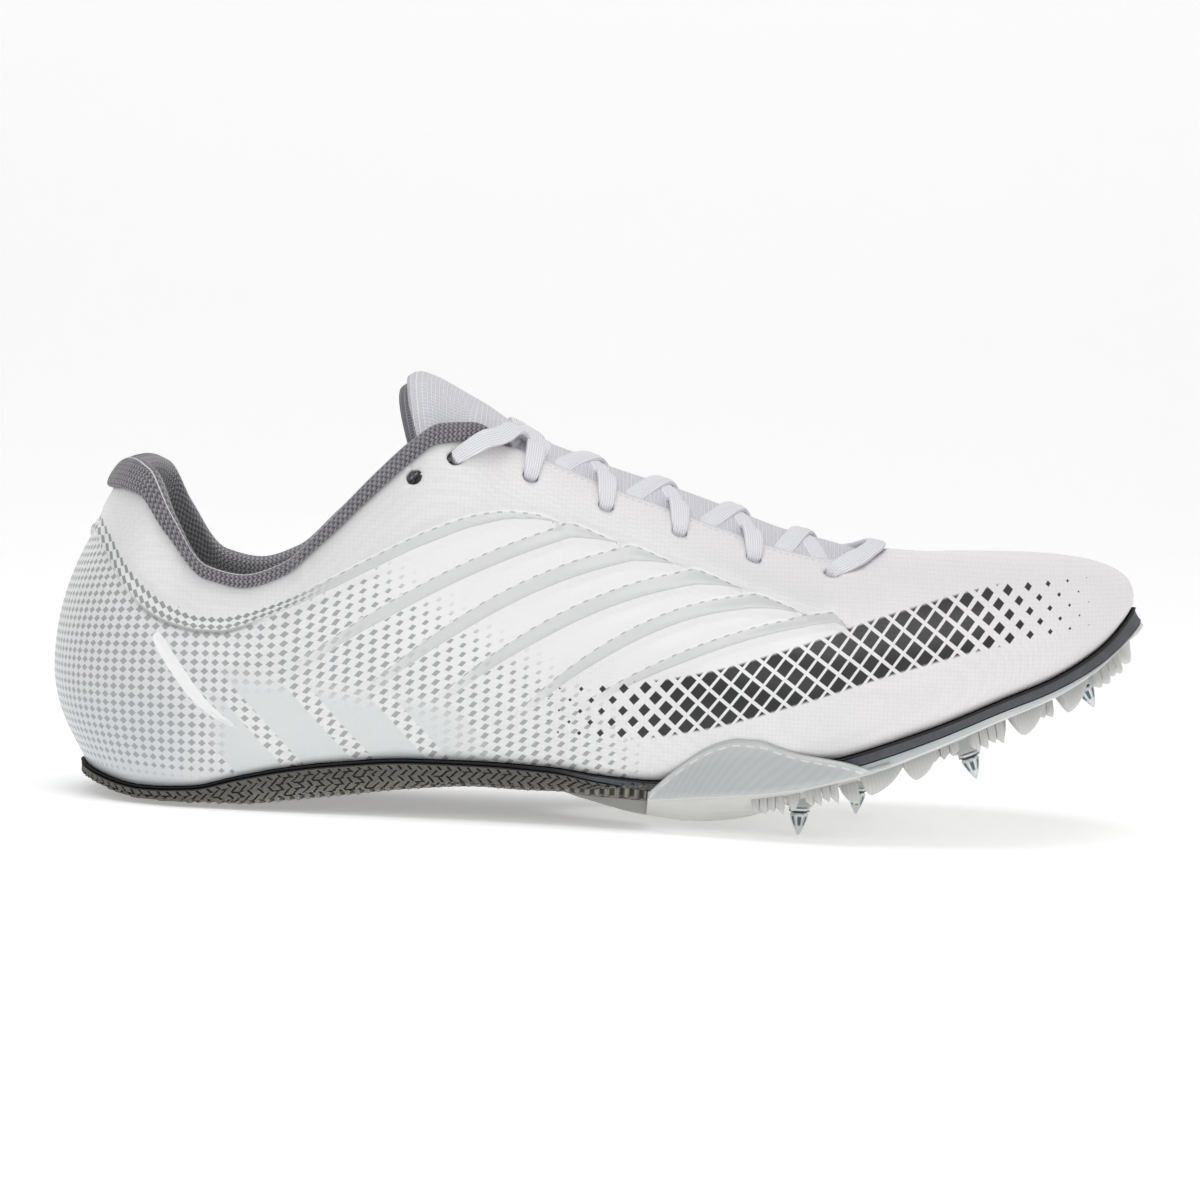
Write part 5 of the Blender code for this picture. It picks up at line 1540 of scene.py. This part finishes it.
def finBodies():
    bodies = []
    for side in (-1, 1):
        for low, high, tip, depth, blades, inset in finRows:
            parts = max(blades, 1)
            for n in range(parts):
                a = low + (high - low) * n / parts
                b = a + (high - low) / parts * (0.93 if blades > 1 else 1)
                deep = depth * (1 if n == parts - 1 else 0.84 + 0.1 * (n % 2))
                thick = plate["finThick"] * (0.85 if blades > 1 else 1)
                rows = finOutline(tip, 17, blades > 1)
                rings = [finRing((a + (b - a) * t) / 1000, side, deep / 1000 * d, inset / 1000, thick)
                         for t, d in rows]
                points, faces = tube(rings)
                fields = [((a + (b - a) * t), deep * d * s, 2) for t, d in rows
                          for _, s in finSection]
                bodies.append((points, faces, fields))
    return bodies


def turned(profilePoints, sides, origin, up):
    # rings of a turned or faceted body along an axis
    up = Vector(up).normalized()
    first = Vector((1, 0, 0))
    first = (first - up * first.dot(up)).normalized()
    second = up.cross(first)
    return [[Vector(origin) + up * z + first * r * math.cos(math.tau * n / sides)
             + second * r * math.sin(math.tau * n / sides) for n in range(sides)]
            for r, z in profilePoints]


def spikeAxis(along, across, tipZ, tilt):
    tilt = math.radians(tilt)
    return Vector((along * length, across, tipZ)), Vector((-math.sin(tilt), 0, math.cos(tilt)))


def plateLook():
    look = Look("frostedPlate")
    run, down, kind = look.attribute("ring")
    wing, fin = abs(kind - 1).step(0.5, 0.4), kind.step(1.5, 1.6)
    grain = look.noise(700, 3)
    cloud = look.noise(55)
    streak = ((run - down * 0.9) / 2.6).part().pingpong(0.5) * 2
    wall = look.mix(cloud, plate["wallShade"], plate["wallPale"])
    crest = abs(down - 0.75).step(0.30, 0.10) * abs(kind).step(0.4, 0.2)
    body = look.paint(plate["shade"], (cloud, plate["pale"]), (down.step(1.1, 0.6), wall),
                      (crest * 0.7, plate["edgePale"]))
    # the wing: slanted streaks, paler at its rim, with a broken line just below it
    dash = (run / 3.4).part().step(0.38, 0.46) * abs(down + 1.25).step(0.28, 0.14)
    skin = look.paint(plate["wingShade"], (streak * 0.35 + cloud * 0.6, plate["wingPale"]),
                      ((down + 2.0).step(-0.4, 1.8), plate["wingRim"]), (dash * 0.6, plate["dash"]))
    # the fins: cloudy, greyer at the root and bright along the tip
    blade = look.paint(plate["finShade"], (down.step(0.6, 5.2), plate["finPale"]),
                       ((run / 0.9).part().pingpong(0.5) * cloud * 0.7, plate["edgePale"]))
    colour = look.paint(body, (wing, skin), (fin, blade))
    normal = look.bump(grain * 0.5 + streak * wing * 0.5, 0.00008, 0.6)
    return look.finish(colour, grain * 0.15 + 0.26, normal, coatWeight=0.25, coatRoughness=0.2,
                       subsurfaceWeight=0.25, subsurfaceScale=0.003, subsurfaceRadius=(1, 1, 1))


def buildPlate(look):
    points, faces, fields = [], [], []

    def add(body):
        start = len(points)
        points.extend(body[0])
        faces.extend([start + i for i in face] for face in body[1])
        fields.extend(body[2])
    cuts = stations(markOf(sole["forkEdge"] + shoe["gap"]), marks[-1], 0.0009)
    for side in (-1, 1):
        grid, rows = soleHalf(side, cuts, plateRing, (0.170, sole["forkEdge"]))
        count, start = grid.shape[1], len(points)
        add((list(grid.reshape(-1, 3)), gridFaces(len(cuts), count, flip=side > 0),
             list(rows.reshape(-1, 3))))
        faces += capFaces(points, start, count, -1)
        add(wingSkin(side))
    for body in finBodies():
        add(body)
    for along, across, tipZ, tilt in spikeRows:
        tip, up = spikeAxis(along, across, tipZ, tilt)
        low = spikeSize["point"] + spikeSize["base"] + shoe["gap"]
        post, tall = plate["post"], 0.004
        x = (tip + up * low).x
        inside = float(keelLine(x) + soleHeights(np.array([x]))["top"][0]) / 2
        while (tip + up * (low + tall)).z < inside:
            tall += 0.0003
        shape = [(post * 0.80, low), (post * 0.92, low + 0.0002), (post, low + 0.0008),
                 (post * 1.02, low + 0.0016), (post * 1.15, low + tall)]
        body = tube(turned(shape, 32, tip, up))
        add((*body, [(0.0, 1.0, 2)] * len(body[0])))
    return meshObject("plate", points, faces, look, 45, 1e-6, {"ring": fields})


frosted = keep(buildPlate(plateLook()), "frosted_plate", "spike_plate")
print("plate made:", len(frosted.data.polygons), "faces")


# Spikes: steel pyramids with slightly hollow flanks over a hexagonal nut
def spikeLook():
    look = Look("spikeSteel")
    around, high = look.attribute("ring")[:2]
    grain = look.noise(2200)
    # painted reflection: a dark patch in the middle of each hollow facet
    core = abs(around).step(0.62, 0.35) * abs(high - 3.6).step(1.5, 0.9)
    # painted shade in the narrow neck between the pyramid and the nut
    neckShade = high.step(5.5, 5.7) * high.step(6.4, 6.2)
    colour = look.paint(spikeSize["shade"], (grain, spikeSize["pale"]), (core, spikeSize["core"]),
                        (neckShade, spikeSize["line"]))
    return look.finish(colour, grain * 0.15 + 0.24, look.bump(grain, 0.00005, 0.5), metallic=0.85)


def buildSpike(name, row, look):
    tip, up = spikeAxis(*row)
    shape = [(0.00025, 0.0), (0.00050, 0.0004), (0.00150, 0.0024), (0.00215, 0.0040), (0.0024, 0.0052),
             (0.0021, 0.0056), (0.0021, 0.0059), (spikeSize["hex"], 0.0060),
             (spikeSize["hex"], 0.0068), (0.0025, 0.0070)]
    rings = []
    for n, (r, z) in enumerate(shape):
        sides = turned([(r, z)], 6, tip, up)[0]
        ring = []
        for a, b in zip(sides, sides[1:] + sides[:1]):
            hollow = spikeSize["hollow"] if 1 < n < 5 else 0.0
            middle = tip + up * z
            for t in spikeSize["places"]:
                p = a.lerp(b, t)
                ring.append(p + (middle - p) * hollow * (1 - abs(2 * t - 1)))
        rings.append(ring)
    points, faces = tube(rings)
    fields = [(t * 2 - 1, z * 1000, 0) for r, z in shape for s in range(6)
              for t in spikeSize["places"]]
    return meshObject(name, points, faces, look, 30, 0, {"ring": fields})


steel = spikeLook()
spikeNames = ("lateral_rear", "medial_rear", "lateral_front", "medial_front", "toe")
for name, row in zip(spikeNames, spikeRows):
    made = buildSpike("spike" + name.title().replace("_", ""), row, steel)
    keep(made, "spike_steel", "spike_" + name)
print("spikes made")


[[[float(v) for v in corner] for corner in box]
           for box in (cadBounds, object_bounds())]
